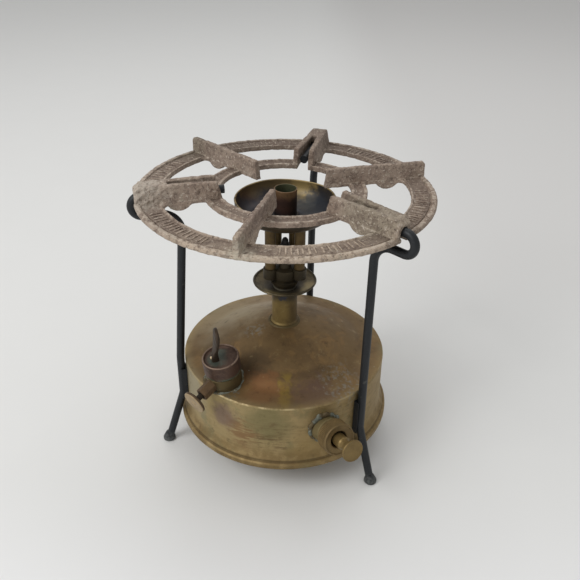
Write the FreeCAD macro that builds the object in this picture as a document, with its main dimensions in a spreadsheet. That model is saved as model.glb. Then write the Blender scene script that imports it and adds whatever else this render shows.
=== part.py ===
import FreeCAD, Part
import os
import re
import Sketcher
from FreeCAD import Placement, Rotation, Vector

# Brass kerosene pressure stove: a round tank on three wire legs, a burner on a riser in the
# middle, and a cast ring for the pan.  Millimetres and degrees.  Z is up, z = 0 is the table,
# and the origin is on the tank's axis.  X and Y lie in the table.
DIMENSIONS = {
    # Tank: a dished shell with a beaded foot, a waisted wall, a conical band and a crown.
    "foot_lift": 28.0,
    "tank_foot_radius": 89.6,
    "tank_bead_height": 2.6,
    "tank_flare_height": 15.0,
    "tank_waist_radius": 83.9,
    "tank_shoulder_radius": 84.0,
    "tank_shoulder_height": 54.6,
    "tank_edge_height": 56.4,
    "tank_skin": 1.2,
    "band_inner_radius": 66.0,
    "band_rise": 2.4,
    "crown_height": 82.0,
    "crown_flat_radius": 14.0,
    "crown_bulge": 2.2,
    "crown_hole_radius": 6.0,
    "bottom_recess": 1.4,
    # Riser and pick-up pipe on the tank's axis.
    "riser_radius": 10.35,
    "riser_foot_radius": 12.6,
    "riser_foot_height": 1.6,
    "riser_socket_radius": 6.5,
    "riser_socket_depth": 11.0,
    "riser_spigot_length": 4.0,
    "pickup_radius": 4.0,
    "pickup_wall": 0.8,
    "pickup_clearance": 3.0,
    # Spirit cup and the lead washer above it.
    "cup_rim_radius": 25.4,
    "cup_floor_radius": 10.6,
    "cup_depth": 7.0,
    "cup_skin": 1.0,
    "washer_radius": 9.4,
    "washer_thickness": 1.2,
    # Burner casting, its four tubes, the jet, the head, the bowl and the mixing tube.
    "collar_radius": 9.0,
    "collar_height": 8.0,
    "collar_flange_radius": 11.0,
    "collar_flange_height": 3.0,
    "gallery_height": 8.5,
    "gallery_radius": 9.5,
    "ear_radius": 5.6,
    "column_radius": 5.2,
    "jet_seat_height": 30.0,
    "jet_block_height": 7.0,
    "jet_block_radius": 7.4,
    "burner_spigot_length": 8.0,
    "fuel_bore_radius": 2.2,
    "up_tube_radius": 4.3,
    "up_tube_side": 11.5,
    "up_tube_front": 3.0,
    "return_tube_radius": 3.2,
    "return_tube_side": 6.0,
    "return_tube_back": 8.5,
    "tube_wall": 1.0,
    "burner_drop": 27.8,
    "head_height": 55.8,
    "head_thickness": 4.0,
    "head_radius": 19.5,
    "jet_hex_flats": 6.0,
    "jet_hex_height": 3.2,
    "jet_cone_height": 8.8,
    "jet_tip_radius": 1.4,
    "jet_orifice_radius": 0.3,
    "bowl_rim_radius": 38.8,
    "bowl_floor_radius": 28.0,
    "bowl_depth": 15.6,
    "bowl_bulge": 2.6,
    "bowl_skin": 1.0,
    "mixing_tube_radius": 8.7,
    "mixing_tube_wall": 0.8,
    "mixing_throat_radius": 6.9,
    "mixing_tube_rise": 23.4,
    "mixing_collar_radius": 10.2,
    "mixing_collar_height": 1.6,
    # Cast ring: an outer band with a recessed face, an inner ring, three blades, three sockets.
    "ring_top_height": 227.8,
    "ring_turn": 14.6,
    "band_outer_radius": 112.0,
    "band_window_radius": 93.0,
    "band_depth": 4.2,
    "band_edge": 2.4,
    "band_taper": 0.8,
    "band_lip": 2.6,
    "band_channel": 1.2,
    "inner_ring_outer_radius": 61.0,
    "inner_ring_inner_radius": 50.0,
    "inner_ring_depth": 4.0,
    "web_depth": 3.0,
    "window_outer_fillet": 8.0,
    "window_inner_fillet": 3.5,
    "arm_rise": 12.2,
    "arm_drop": 3.0,
    "arm_corner": 1.8,
    "blade_thickness": 4.6,
    "blade_inner_radius": 33.0,
    "blade_end": 2.2,
    "lobe_centre_radius": 80.0,
    "lobe_half_length": 8.0,
    "lobe_depth": 2.0,
    "socket_width": 16.8,
    "socket_slot": 8.2,
    "socket_inner_radius": 48.0,
    "socket_slot_end_radius": 87.0,
    "socket_end": 0.6,
    "socket_end_slant": 4.0,
    "blade_end_slant": 2.5,
    "hook_notch_depth": 9.0,
    # Legs: round steel wire hooked into the ring, held in clips on the tank.
    "leg_wire_radius": 3.2,
    "leg_tank_gap": 0.8,
    "leg_hole_gap": 0.3,
    "leg_wire_rise": 3.2,
    "leg_back_rod": 56.5,
    "leg_left_rod": 59.7,
    "leg_right_rod": 56.5,
    "leg_back_reach": 109.0,
    "leg_left_reach": 106.0,
    "leg_right_reach": 112.5,
    "leg_left_lean": 4.4,
    "leg_lean_height": 86.0,
    "leg_lean_bend": 60.0,
    "hook_radius": 7.75,
    "leg_shoulder_radius": 15.0,
    "leg_bend_height": 49.5,
    "leg_bend_radius": 14.0,
    "foot_centre_radius": 103.4,
    "foot_radius": 5.2,
    "foot_pad_height": 2.4,
    "foot_neck_height": 7.5,
    "clip_sheet": 0.6,
    "clip_depth": 4.6,
    "clip_low_height": 17.0,
    "clip_length": 31.0,
    # Filler on the band at the front left: a boss, a seal, a cupped cap and its wing.
    "filler_azimuth": 229.0,
    "filler_tilt": 9.0,
    "filler_distance": 69.5,
    "filler_seat_height": 58.4,
    "filler_boss_radius": 13.8,
    "filler_boss_height": 11.6,
    "filler_neck_radius": 11.2,
    "filler_neck_height": 17.0,
    "filler_bore_radius": 9.5,
    "filler_boss_root": 8.0,
    "seal_thickness": 1.2,
    "cap_radius": 14.4,
    "cap_height": 14.0,
    "cap_rim_wall": 1.8,
    "cap_cup_depth": 3.0,
    "cap_thread_gap": 0.3,
    "cap_hub_radius": 5.0,
    "cap_hub_height": 3.6,
    "wing_thickness": 3.2,
    "wing_turn": 50.0,
    "wing_root_width": 7.0,
    "wing_tip_width": 17.0,
    "wing_height": 28.4,
    "wing_waist_height": 6.4,
    "wing_sink": 3.0,
    "rivet_radius": 1.1,
    "rivet_head_radius": 1.7,
    "rivet_head_height": 1.6,
    # Air screw in the side of the filler boss.
    "air_screw_height": 8.0,
    "air_screw_dip": 18.0,
    "air_sleeve_radius": 4.6,
    "air_sleeve_reach": 21.0,
    "air_stem_radius": 3.0,
    "air_stem_inner": 12.0,
    "air_neck_radius": 2.3,
    "air_neck_start": 22.5,
    "air_head_reach": 30.8,
    "air_head_thickness": 3.2,
    "air_head_radius": 9.7,
    "air_rivet_radius": 1.4,
    # Pump at the front right, on its own axis: u = 0 where the axis meets the tank's wall.
    "pump_wall_azimuth": 293.0,
    "pump_azimuth": 299.0,
    "pump_tilt": 12.6,
    "pump_wall_height": 33.0,
    "pump_barrel_radius": 9.0,
    "pump_barrel_wall": 0.8,
    "pump_barrel_inside": 64.0,
    "pump_barrel_outside": 16.4,
    "pump_barrel_end": 2.0,
    "pump_boss_radius": 11.1,
    "pump_boss_outside": 8.0,
    "pump_boss_inside": 8.0,
    "pump_cap_radius": 12.9,
    "pump_cap_start": 10.5,
    "pump_cap_front": 22.0,
    "pump_cap_recess": 2.0,
    "pump_cap_rim": 1.6,
    "pump_cap_hole_radius": 6.7,
    "pump_washer_thickness": 1.4,
    "pump_rod_radius": 2.6,
    "pump_rod_inner": 60.0,
    "knob_front": 40.5,
    "knob_radius": 8.7,
    "knob_edge": 2.4,
    "knob_waist_radius": 3.9,
    "knob_collar_radius": 5.1,
    "knob_collar_start": 18.5,
    "knob_collar_length": 12.0,
    "leather_skirt": 5.4,
    "leather_thickness": 1.4,
    "leather_gap": 0.07,
    "piston_plate_radius": 7.2,
    "piston_plate_thickness": 1.6,
    "piston_nut_radius": 4.4,
    "piston_nut_height": 2.8,
    # Check valve screwed into the inner end of the pump barrel.
    "valve_radius": 5.5,
    "valve_length": 14.0,
    "valve_spigot_radius": 3.0,
    "valve_chamber_radius": 3.8,
    "valve_wall": 2.0,
    "valve_port_radius": 1.2,
    "pip_radius": 3.2,
    "pip_thickness": 1.6,
    "pip_holder_thickness": 1.4,
    "valve_spring_radius": 2.5,
    "valve_spring_wire": 0.35,
    "valve_spring_turns": 5,
    # Clearances shared by mating pieces.
    "solder_gap": 0.05,
    "running_gap": 0.06,
    "face_gap": 0.05,
    "knurl_depth": 0.5,
    "knurl_count": 44,
}

DOC = FreeCAD.newDocument("PressureStove")
SHEET = DOC.addObject("Spreadsheet::Sheet", "Sizes")
PARTS = []


def fill_sheet():
    """Write every driving dimension as plain text with its name as the cell's alias."""
    for row, (name, number) in enumerate(DIMENSIONS.items(), start=1):
        SHEET.set("A%d" % row, name)
        SHEET.set("B%d" % row, str(number))
        SHEET.setAlias("B%d" % row, name)
    DOC.recompute()


def bound(text):
    """Turn the names of dimensions in an expression into references to the sheet."""
    return re.sub(r"[a-z_]+", lambda m: "Sizes." + m[0] if m[0] in DIMENSIONS else m[0], text)


def number(text):
    """What an expression is worth now."""
    return float(SHEET.evalExpression(bound(text)))


def plus(*terms):
    """The sum of several expressions, as one expression."""
    return "(" + " + ".join(terms) + ")"


def minus(first, *others):
    """The first expression less all the others."""
    return "(" + " - ".join((first,) + others) + ")"


# ---------------------------------------------------------------------------------------
# Sketches and features
# ---------------------------------------------------------------------------------------
VIA = "via"


def plane(body, role):
    """The body's own origin plane or axis with this role."""
    return next(item for item in body.Origin.OriginFeatures if item.Role == role)


def new_body(label):
    body = DOC.addObject("PartDesign::Body", label)
    body.Label = label
    return body


def new_sketch(body, role, name, offset=None):
    sketch = body.newObject("Sketcher::SketchObject", name)
    sketch.AttachmentSupport = [(plane(body, role), "")]
    sketch.MapMode = "FlatFace"
    if offset is not None:
        sketch.AttachmentOffset = offset
    return sketch


def pin_point(sketch, item, end, across, up):
    """Hold one point of a sketch at two expressions; a plain "0" holds it on the axis."""
    for kind, text, axis in (("DistanceX", across, -2), ("DistanceY", up, -1)):
        if text == "0":
            sketch.addConstraint(Sketcher.Constraint("PointOnObject", item, end, axis))
        else:
            rule = Sketcher.Constraint(kind, -1, 1, item, end, number(text))
            index = sketch.addConstraint(rule)
            sketch.setExpression("Constraints[%d]" % index, bound(text))


def draw_path(sketch, outline, closed=True):
    """Draw corners (across, up) joined by lines, or by an arc through a (VIA, across, up)."""
    corners = [item for item in outline if item[0] != VIA]
    spots = [Vector(number(item[-2]), number(item[-1]), 0) for item in outline]
    sides = []
    for place, item in enumerate(outline):
        after = (place + 1) % len(outline)
        if item[0] == VIA or (not closed and after == 0):
            continue
        if outline[after][0] == VIA:
            beyond = (place + 2) % len(outline)
            curve = Part.Arc(spots[place], spots[after], spots[beyond])
            index = sketch.addGeometry(curve)
            through = sketch.addGeometry(Part.Point(spots[after]), True)
            first = 1 if sketch.getPoint(index, 1).distanceToPoint(spots[place]) < 1e-6 else 2
            sides.append((index, first))
            pin_point(sketch, through, 1, *outline[after][1:])
            sketch.addConstraint(Sketcher.Constraint("PointOnObject", through, 1, index))
        else:
            index = sketch.addGeometry(Part.LineSegment(spots[place], spots[after]))
            sides.append((index, 1))
    for place, (index, first) in enumerate(sides):
        pin_point(sketch, index, first, *corners[place])
        if place + 1 < len(sides) or closed:
            following = sides[(place + 1) % len(sides)]
            rule = Sketcher.Constraint("Coincident", index, 3 - first, *following)
            sketch.addConstraint(rule)
        else:
            pin_point(sketch, index, 3 - first, *corners[place + 1])
    return [index for index, first in sides]


def draw_circle(sketch, across, up, radius):
    index = sketch.addGeometry(
        Part.Circle(Vector(number(across), number(up), 0), Vector(0, 0, 1), number(radius)))
    pin_point(sketch, index, 3, across, up)
    rule = sketch.addConstraint(Sketcher.Constraint("Radius", index, number(radius)))
    sketch.setExpression("Constraints[%d]" % rule, bound(radius))


def revolve(body, outline, name):
    """Turn an outline given as (radius, height) about the body's Z axis."""
    sketch = new_sketch(body, "XZ_Plane", name + "_outline")
    draw_path(sketch, outline)
    feature = body.newObject("PartDesign::Revolution", name)
    feature.Profile = sketch
    feature.ReferenceAxis = (sketch, ["V_Axis"])
    feature.Angle = 360
    return feature


def extrude(body, kind, sketch, length, name, middle=False, backwards=False):
    """Pad or pocket a sketch over a length, from its plane or half to each side."""
    feature = body.newObject("PartDesign::" + kind, name)
    feature.Profile = sketch
    feature.setExpression("Length", bound(length))
    feature.SideType = "Symmetric" if middle else "One side"
    feature.Reversed = backwards
    return feature


def repeat(body, originals, count, name):
    """Repeat features around the body's Z axis."""
    pattern = body.newObject("PartDesign::PolarPattern", name)
    pattern.Originals = originals
    pattern.Axis = (plane(body, "Z_Axis"), [""])
    pattern.Angle = 360
    pattern.setExpression("Occurrences", bound(count))
    body.Tip = pattern
    return pattern


def knurl(body, radius, low, length, name):
    """Cut small V grooves along Z around a round edge."""
    sketch = new_sketch(body, "XY_Plane", name + "_outline", Placement(Vector(0, 0, number(low)), Rotation()))
    half = "(%s * sin(180 / knurl_count) * 0.55)" % radius
    draw_path(sketch, [
        (plus(radius, "knurl_depth"), half),
        (minus(radius, "knurl_depth"), "0"),
        (plus(radius, "knurl_depth"), "(0 - %s)" % half),
    ])
    groove = extrude(body, "Pocket", sketch, length, name, backwards=True)
    DOC.recompute()
    repeat(body, [groove], "knurl_count", name + "_ring")


def turned(label, outline, frame=None):
    """A sub-part turned about one axis."""
    body = new_body(label)
    revolve(body, outline, label + "_turned")
    return keep(body, frame)


def keep(item, frame=None):
    """Place a sub-part and list it for export under its label."""
    if frame is not None:
        item.Placement = frame
    PARTS.append(item)
    return item


def boolean(label, kind, base, tools):
    """Cut tools from a base, or fuse them with it."""
    result = DOC.addObject("Part::MultiFuse" if kind == "fuse" else "Part::Cut", label)
    result.Label = label
    if kind == "fuse":
        result.Shapes = [base] + tools
        return result
    result.Base = base
    result.Tool = tools[0] if len(tools) == 1 else boolean(label + "_tools", "fuse", tools[0], tools[1:])
    return result


def rod(name, radius, length, frame):
    """A plain cylinder used in a boolean, along its frame's Z axis."""
    item = DOC.addObject("Part::Cylinder", name)
    item.setExpression("Radius", bound(radius))
    item.setExpression("Height", bound(length))
    item.Placement = frame
    return item


# ---------------------------------------------------------------------------------------
# Frames and shared heights
# ---------------------------------------------------------------------------------------
def spin(angle):
    """A turn about the tank's axis."""
    return Placement(Vector(), Rotation(Vector(0, 0, 1), angle))


def shifted(frame, across, side, along):
    """A frame moved in its own directions."""
    return frame.multiply(Placement(Vector(across, side, along), Rotation()))


def filler_frame():
    """Origin where the boss meets the band; Z leans out with the boss, X points outward."""
    lean = Placement(Vector(), Rotation(Vector(0, 1, 0), number("filler_tilt")))
    seat = Vector(number("filler_distance"), 0, number("foot_lift + filler_seat_height"))
    return spin(number("filler_azimuth")).multiply(Placement(seat, Rotation())).multiply(lean)


def air_screw_frame():
    """Origin on the boss's axis; Z runs outward along the screw and dips below level."""
    start = filler_frame().multVec(Vector(0, 0, number("air_screw_height")))
    turn = spin(number("filler_azimuth")).Rotation
    lay = Rotation(Vector(0, 1, 0), 90 + number("air_screw_dip"))
    return Placement(start, turn.multiply(lay))


def pump_frame():
    """Origin where the pump's axis meets the wall; Z runs outward along the pump."""
    start = spin(number("pump_wall_azimuth")).multVec(
        Vector(number("tank_shoulder_radius"), 0, number("foot_lift + pump_wall_height")))
    turn = spin(number("pump_azimuth")).Rotation
    lay = Rotation(Vector(0, 1, 0), 90 - number("pump_tilt"))
    return Placement(start, turn.multiply(lay))


def on_tank(height):
    return plus("foot_lift", height)


CROWN = on_tank("crown_height")
EDGE = on_tank("tank_edge_height")
HEAD_LOW = minus("ring_top_height", "burner_drop")
COLLAR_LOW = minus(HEAD_LOW, "head_height")
WASHER_LOW = minus(COLLAR_LOW, "washer_thickness")
CUP_FLOOR = minus(WASHER_LOW, "cup_skin")
GALLERY_LOW = plus(COLLAR_LOW, "collar_height")
GALLERY_TOP = plus(GALLERY_LOW, "gallery_height")
JET_SEAT = plus(COLLAR_LOW, "jet_seat_height")
BOWL_LOW = plus(HEAD_LOW, "head_thickness")
WIRE_HEIGHT = plus("ring_top_height", "leg_wire_rise")
LEG_RADIUS = plus("tank_shoulder_radius", "leg_wire_radius", "leg_tank_gap")


# ---------------------------------------------------------------------------------------
# Tank
# ---------------------------------------------------------------------------------------
def tank_surface(inset):
    """The tank's outer surface from the foot to the crown, moved inward by an inset."""
    rise = "(crown_height - tank_edge_height - band_rise)"
    middle = "((band_inner_radius + crown_flat_radius) / 2)"
    middle_height = "(crown_height - %s / 2 + crown_bulge)" % rise
    flare_middle = "(tank_waist_radius + 0.28 * (tank_foot_radius - tank_waist_radius))"
    return [
        (minus("tank_foot_radius", inset), on_tank("0")),
        (minus("tank_foot_radius", inset), on_tank("tank_bead_height")),
        (minus("tank_foot_radius", "0.8", inset), on_tank("tank_bead_height + 0.8")),
        (VIA, minus(flare_middle, inset), on_tank("0.5 * tank_flare_height")),
        (minus("tank_waist_radius", inset), on_tank("tank_flare_height")),
        (minus("tank_waist_radius", inset), on_tank("0.8 * tank_shoulder_height")),
        (minus("tank_shoulder_radius", inset), on_tank("tank_shoulder_height")),
        (minus("tank_shoulder_radius", "0.7", inset), minus(EDGE, inset)),
        ("band_inner_radius", minus(EDGE, "(0 - band_rise)", inset)),
        (VIA, middle, minus(on_tank(middle_height), inset)),
        ("crown_flat_radius", minus(CROWN, inset)),
    ]


def tank_shell():
    """Foot, wall, band and crown in one sheet, with holes for the riser, filler and pump."""
    body = new_body("tank_shell")
    outer = tank_surface("0") + [("crown_hole_radius", CROWN)]
    inner = [("crown_hole_radius", minus(CROWN, "tank_skin"))]
    inner += list(reversed(tank_surface("tank_skin")))
    revolve(body, outer + inner, "shell")
    holes = (
        ("filler_hole", filler_frame(), "filler_bore_radius", "2 * filler_boss_root"),
        ("pump_hole", pump_frame(), "(pump_barrel_radius + solder_gap)", "4 * pump_boss_inside"),
    )
    for name, frame, radius, length in holes:
        sketch = new_sketch(body, "XY_Plane", name + "_outline", frame)
        draw_circle(sketch, "0", "0", radius)
        extrude(body, "Pocket", sketch, length, name, middle=True)
    return keep(body)


def tank_envelope():
    """The solid inside the tank's outer surface and its solder gap, for saddle cuts."""
    body = new_body("tank_envelope")
    outline = tank_surface("(0 - solder_gap)")
    outline += [("0", plus(CROWN, "solder_gap")), ("0", on_tank("0"))]
    revolve(body, outline, "envelope")
    return body


def tank_bottom():
    """A dished disc soldered inside the foot, with its rim turned down."""
    rim = "(tank_foot_radius - tank_skin - solder_gap)"
    top = on_tank("(bottom_recess + tank_skin)")
    turned("tank_bottom", [
        ("0", top),
        (rim, top),
        (rim, on_tank("0.3")),
        (minus(rim, "tank_skin"), on_tank("0.3")),
        (minus(rim, "tank_skin"), minus(top, "tank_skin")),
        ("0", minus(top, "tank_skin")),
    ])


def riser_and_pickup():
    """The upright pipe that carries the burner, and the pipe that reaches the tank's bottom."""
    spigot = "(crown_hole_radius - solder_gap)"
    socket = "(pickup_radius + solder_gap)"
    low = minus(CROWN, "riser_spigot_length")
    turned("riser", [
        (socket, low),
        (spigot, low),
        (spigot, CROWN),
        ("riser_foot_radius", CROWN),
        ("riser_foot_radius", plus(CROWN, "0.5 * riser_foot_height")),
        ("riser_radius", plus(CROWN, "riser_foot_height")),
        ("riser_radius", CUP_FLOOR),
        ("riser_socket_radius", CUP_FLOOR),
        ("riser_socket_radius", minus(CUP_FLOOR, "riser_socket_depth")),
        (socket, minus(CUP_FLOOR, "riser_socket_depth")),
    ])
    foot = plus(on_tank("(bottom_recess + tank_skin)"), "pickup_clearance")
    bore = "(pickup_radius - pickup_wall)"
    turned("pickup_tube", [
        (bore, foot),
        ("pickup_radius", foot),
        ("pickup_radius", plus(CROWN, "riser_foot_height")),
        (bore, plus(CROWN, "riser_foot_height")),
    ])


def spirit_cup():
    """A shallow dish for the priming spirit, clamped under the burner."""
    hole = "(riser_socket_radius + solder_gap)"
    rim_height = plus(CUP_FLOOR, "cup_depth")
    bend = "(cup_floor_radius + 0.6 * (cup_rim_radius - cup_floor_radius))"
    bend_height = plus(CUP_FLOOR, "0.4 * cup_depth")
    turned("spirit_cup", [
        (hole, CUP_FLOOR),
        ("cup_floor_radius", CUP_FLOOR),
        (VIA, bend, bend_height),
        (minus("cup_rim_radius", "0.4"), minus(rim_height, "1.8")),
        ("cup_rim_radius", minus(rim_height, "1.2")),
        ("cup_rim_radius", minus(rim_height, "0.3")),
        (minus("cup_rim_radius", "0.6"), rim_height),
        (minus("cup_rim_radius", "0.4", "cup_skin"), rim_height),
        (minus("cup_rim_radius", "0.4", "cup_skin"), minus(rim_height, "1.8")),
        (VIA, minus(bend, "0.3 * cup_skin"), plus(bend_height, "0.9 * cup_skin")),
        (minus("cup_floor_radius", "0.4"), plus(CUP_FLOOR, "cup_skin")),
        (hole, plus(CUP_FLOOR, "cup_skin")),
    ])
    turned("burner_washer", [
        (hole, WASHER_LOW),
        ("washer_radius", WASHER_LOW),
        ("washer_radius", COLLAR_LOW),
        (hole, COLLAR_LOW),
    ])


# ---------------------------------------------------------------------------------------
# Burner
# ---------------------------------------------------------------------------------------
def burner_base():
    """Collar with its spigot, the gallery with four ears, and the column under the jet."""
    body = new_body("burner_base")
    spigot = "(riser_socket_radius - solder_gap)"
    block_low = minus(JET_SEAT, "jet_block_height")
    revolve(body, [
        ("fuel_bore_radius", minus(COLLAR_LOW, "burner_spigot_length")),
        (spigot, minus(COLLAR_LOW, "burner_spigot_length")),
        (spigot, COLLAR_LOW),
        ("collar_radius", COLLAR_LOW),
        ("collar_radius", plus(COLLAR_LOW, "0.5 * collar_height - 0.5 * collar_flange_height")),
        ("collar_flange_radius", plus(COLLAR_LOW, "0.5 * collar_height - 0.3 * collar_flange_height")),
        ("collar_flange_radius", plus(COLLAR_LOW, "0.5 * collar_height + 0.3 * collar_flange_height")),
        ("collar_radius", plus(COLLAR_LOW, "0.5 * collar_height + 0.5 * collar_flange_height")),
        ("gallery_radius", GALLERY_LOW),
        ("gallery_radius", minus(GALLERY_TOP, "1")),
        ("column_radius", GALLERY_TOP),
        ("column_radius", minus(block_low, "2")),
        ("jet_block_radius", block_low),
        ("jet_block_radius", minus(JET_SEAT, "1")),
        ("column_radius", JET_SEAT),
        ("fuel_bore_radius", JET_SEAT),
    ], "casting")
    ears = (
        ("up_ears", GALLERY_LOW, "gallery_height", "up_tube_side", "(0 - up_tube_front)", "ear_radius"),
        ("return_ears", block_low, "(jet_block_height - 1)", "return_tube_side", "return_tube_back",
         "(return_tube_radius + tube_wall)"),
    )
    for name, low, height, side, front, radius in ears:
        at = Placement(Vector(0, 0, number(low)), Rotation())
        for hand, across in (("left", "(0 - %s)" % side), ("right", side)):
            sketch = new_sketch(body, "XY_Plane", "%s_%s_outline" % (name, hand), at)
            draw_circle(sketch, across, front, radius)
            extrude(body, "Pad", sketch, height, "%s_%s" % (name, hand))
    return keep(body)


def burner_tubes():
    """Two tubes that carry fuel up to the head and two that bring vapour down to the jet."""
    return_low = minus(JET_SEAT, "1")
    kinds = (
        ("up_tube", "up_tube_radius", GALLERY_TOP, "up_tube_side", "(0 - up_tube_front)"),
        ("return_tube", "return_tube_radius", return_low, "return_tube_side", "return_tube_back"),
    )
    for name, radius, low, side, front in kinds:
        for hand, sign in (("left", -1), ("right", 1)):
            at = Placement(Vector(sign * number(side), number(front), 0), Rotation())
            turned("%s_%s" % (name, hand), [
                (minus(radius, "tube_wall"), low),
                (radius, low),
                (radius, HEAD_LOW),
                (minus(radius, "tube_wall"), HEAD_LOW),
            ], at)


def jet():
    """The nipple: a hexagon with a cone and a fine hole."""
    body = new_body("jet")
    top = plus(JET_SEAT, "jet_hex_height")
    revolve(body, [
        ("jet_orifice_radius", JET_SEAT),
        ("(0.5 * jet_hex_flats)", JET_SEAT),
        ("(0.5 * jet_hex_flats)", top),
        ("(0.36 * jet_hex_flats)", plus(top, "0.4 * jet_cone_height")),
        ("jet_tip_radius", plus(top, "jet_cone_height")),
        ("jet_orifice_radius", plus(top, "jet_cone_height")),
    ], "nipple")
    at = Placement(Vector(0, 0, number(JET_SEAT)), Rotation())
    sketch = new_sketch(body, "XY_Plane", "hexagon_outline", at)
    corner = "(jet_hex_flats / sqrt(3))"
    draw_path(sketch, [
        ("(%s * cos(%d))" % (corner, angle), "(%s * sin(%d))" % (corner, angle))
        for angle in range(15, 375, 60)
    ])
    draw_circle(sketch, "0", "0", "jet_orifice_radius")
    extrude(body, "Pad", sketch, "jet_hex_height", "hexagon")
    return keep(body)


def burner_top():
    """The head on the tubes, the bowl on the head and the mixing tube through both."""
    hole = "(mixing_throat_radius + solder_gap)"
    turned("burner_head", [
        (hole, HEAD_LOW),
        (minus("head_radius", "1"), HEAD_LOW),
        ("head_radius", plus(HEAD_LOW, "1")),
        ("head_radius", BOWL_LOW),
        (hole, BOWL_LOW),
    ])
    rim_height = plus(BOWL_LOW, "bowl_depth")
    middle = "((bowl_floor_radius + bowl_rim_radius) / 2 + bowl_bulge)"
    middle_height = plus(BOWL_LOW, "bowl_depth / 2 - bowl_bulge")
    turned("burner_bowl", [
        (hole, BOWL_LOW),
        ("bowl_floor_radius", BOWL_LOW),
        (VIA, middle, middle_height),
        ("bowl_rim_radius", minus(rim_height, "0.6")),
        (minus("bowl_rim_radius", "0.5"), rim_height),
        (minus("bowl_rim_radius", "bowl_skin", "0.3"), rim_height),
        (VIA, minus(middle, "0.75 * bowl_skin"), plus(middle_height, "0.75 * bowl_skin")),
        (minus("bowl_floor_radius", "0.4"), plus(BOWL_LOW, "bowl_skin")),
        (hole, plus(BOWL_LOW, "bowl_skin")),
    ])
    bore = "(mixing_tube_radius - mixing_tube_wall)"
    throat = "(mixing_throat_radius - mixing_tube_wall)"
    collar_low = plus(BOWL_LOW, "bowl_skin")
    turned("mixing_tube", [
        (throat, HEAD_LOW),
        ("mixing_throat_radius", HEAD_LOW),
        ("mixing_throat_radius", collar_low),
        ("mixing_collar_radius", collar_low),
        ("mixing_collar_radius", plus(collar_low, "mixing_collar_height")),
        ("mixing_tube_radius", plus(collar_low, "mixing_collar_height")),
        ("mixing_tube_radius", plus(BOWL_LOW, "mixing_tube_rise")),
        (bore, plus(BOWL_LOW, "mixing_tube_rise")),
        (bore, plus(collar_low, "mixing_tube_wall")),
        (throat, collar_low),
    ])


# ---------------------------------------------------------------------------------------
# Cast ring
# ---------------------------------------------------------------------------------------
def corner(radius, half, size, outward):
    """A rounded corner between a circle and an arm's side, as (along the arm, across it).

    Gives the point on the circle, the middle of the curve and the point on the arm.
    """
    sign = "1" if outward else "(0 - 1)"
    reach = "(%s - %s * %s)" % (radius, sign, size)
    aside = "(%s + %s)" % (half, size)
    along = "sqrt(%s * %s - %s * %s)" % (reach, reach, aside, aside)
    share = "(%s / sqrt(2 - 2 * %s * %s / %s))" % (size, sign, aside, reach)
    on_circle = ("(%s * %s / %s)" % (along, radius, reach), "(%s * %s / %s)" % (aside, radius, reach))
    middle = ("(%s * (1 + %s * %s / %s))" % (along, share, sign, reach),
              "(%s + %s * (%s * %s / %s - 1))" % (aside, share, sign, aside, reach))
    return on_circle, middle, (along, half)


def window(side):
    """One window between a blade at 0 degrees and a socket arm at 60, above or below X."""
    low, high = "inner_ring_outer_radius", "band_window_radius"

    def by_blade(spot):
        return spot[0], "(%d * %s)" % (side, spot[1])

    def by_socket(spot):
        return ("(%s * cos(60) + %s * sin(60))" % spot,
                "(%d * (%s * sin(60) - %s * cos(60)))" % ((side,) + spot))

    def between(radius):
        return VIA, "(%s * cos(30))" % radius, "(%d * %s * sin(30))" % (side, radius)

    def rounded(radius, half, placed, outward, size):
        circle, middle, arm = [placed(spot) for spot in corner(radius, half, size, outward)]
        return [circle, (VIA,) + middle, arm]

    blade, socket = "(blade_thickness / 2)", "(socket_width / 2)"
    low_blade = rounded(low, blade, by_blade, False, "window_inner_fillet")
    high_blade = rounded(high, blade, by_blade, True, "window_outer_fillet")
    high_socket = rounded(high, socket, by_socket, True, "window_outer_fillet")
    low_socket = rounded(low, socket, by_socket, False, "window_inner_fillet")
    outline = low_blade + high_blade[::-1] + [between(high)] + high_socket
    return outline + low_socket[::-1] + [between(low)]


def arm_outline(inner, outer, low, foot):
    """Side of an arm: flat top with clipped corners, and a lobe under the middle."""
    top = plus("ring_top_height", "arm_rise")
    lobe_start = plus("lobe_centre_radius", "lobe_half_length")
    lobe_end = minus("lobe_centre_radius", "lobe_half_length")
    return [
        (inner, top),
        (minus(outer, "arm_corner"), top),
        (outer, minus(top, "arm_corner")),
        (outer, minus("ring_top_height", "web_depth")),
        (lobe_start, minus("ring_top_height", low)),
        (VIA, "lobe_centre_radius", minus("ring_top_height", low, "lobe_depth")),
        (lobe_end, minus("ring_top_height", low)),
        (foot, minus("ring_top_height", low)),
    ]


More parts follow.
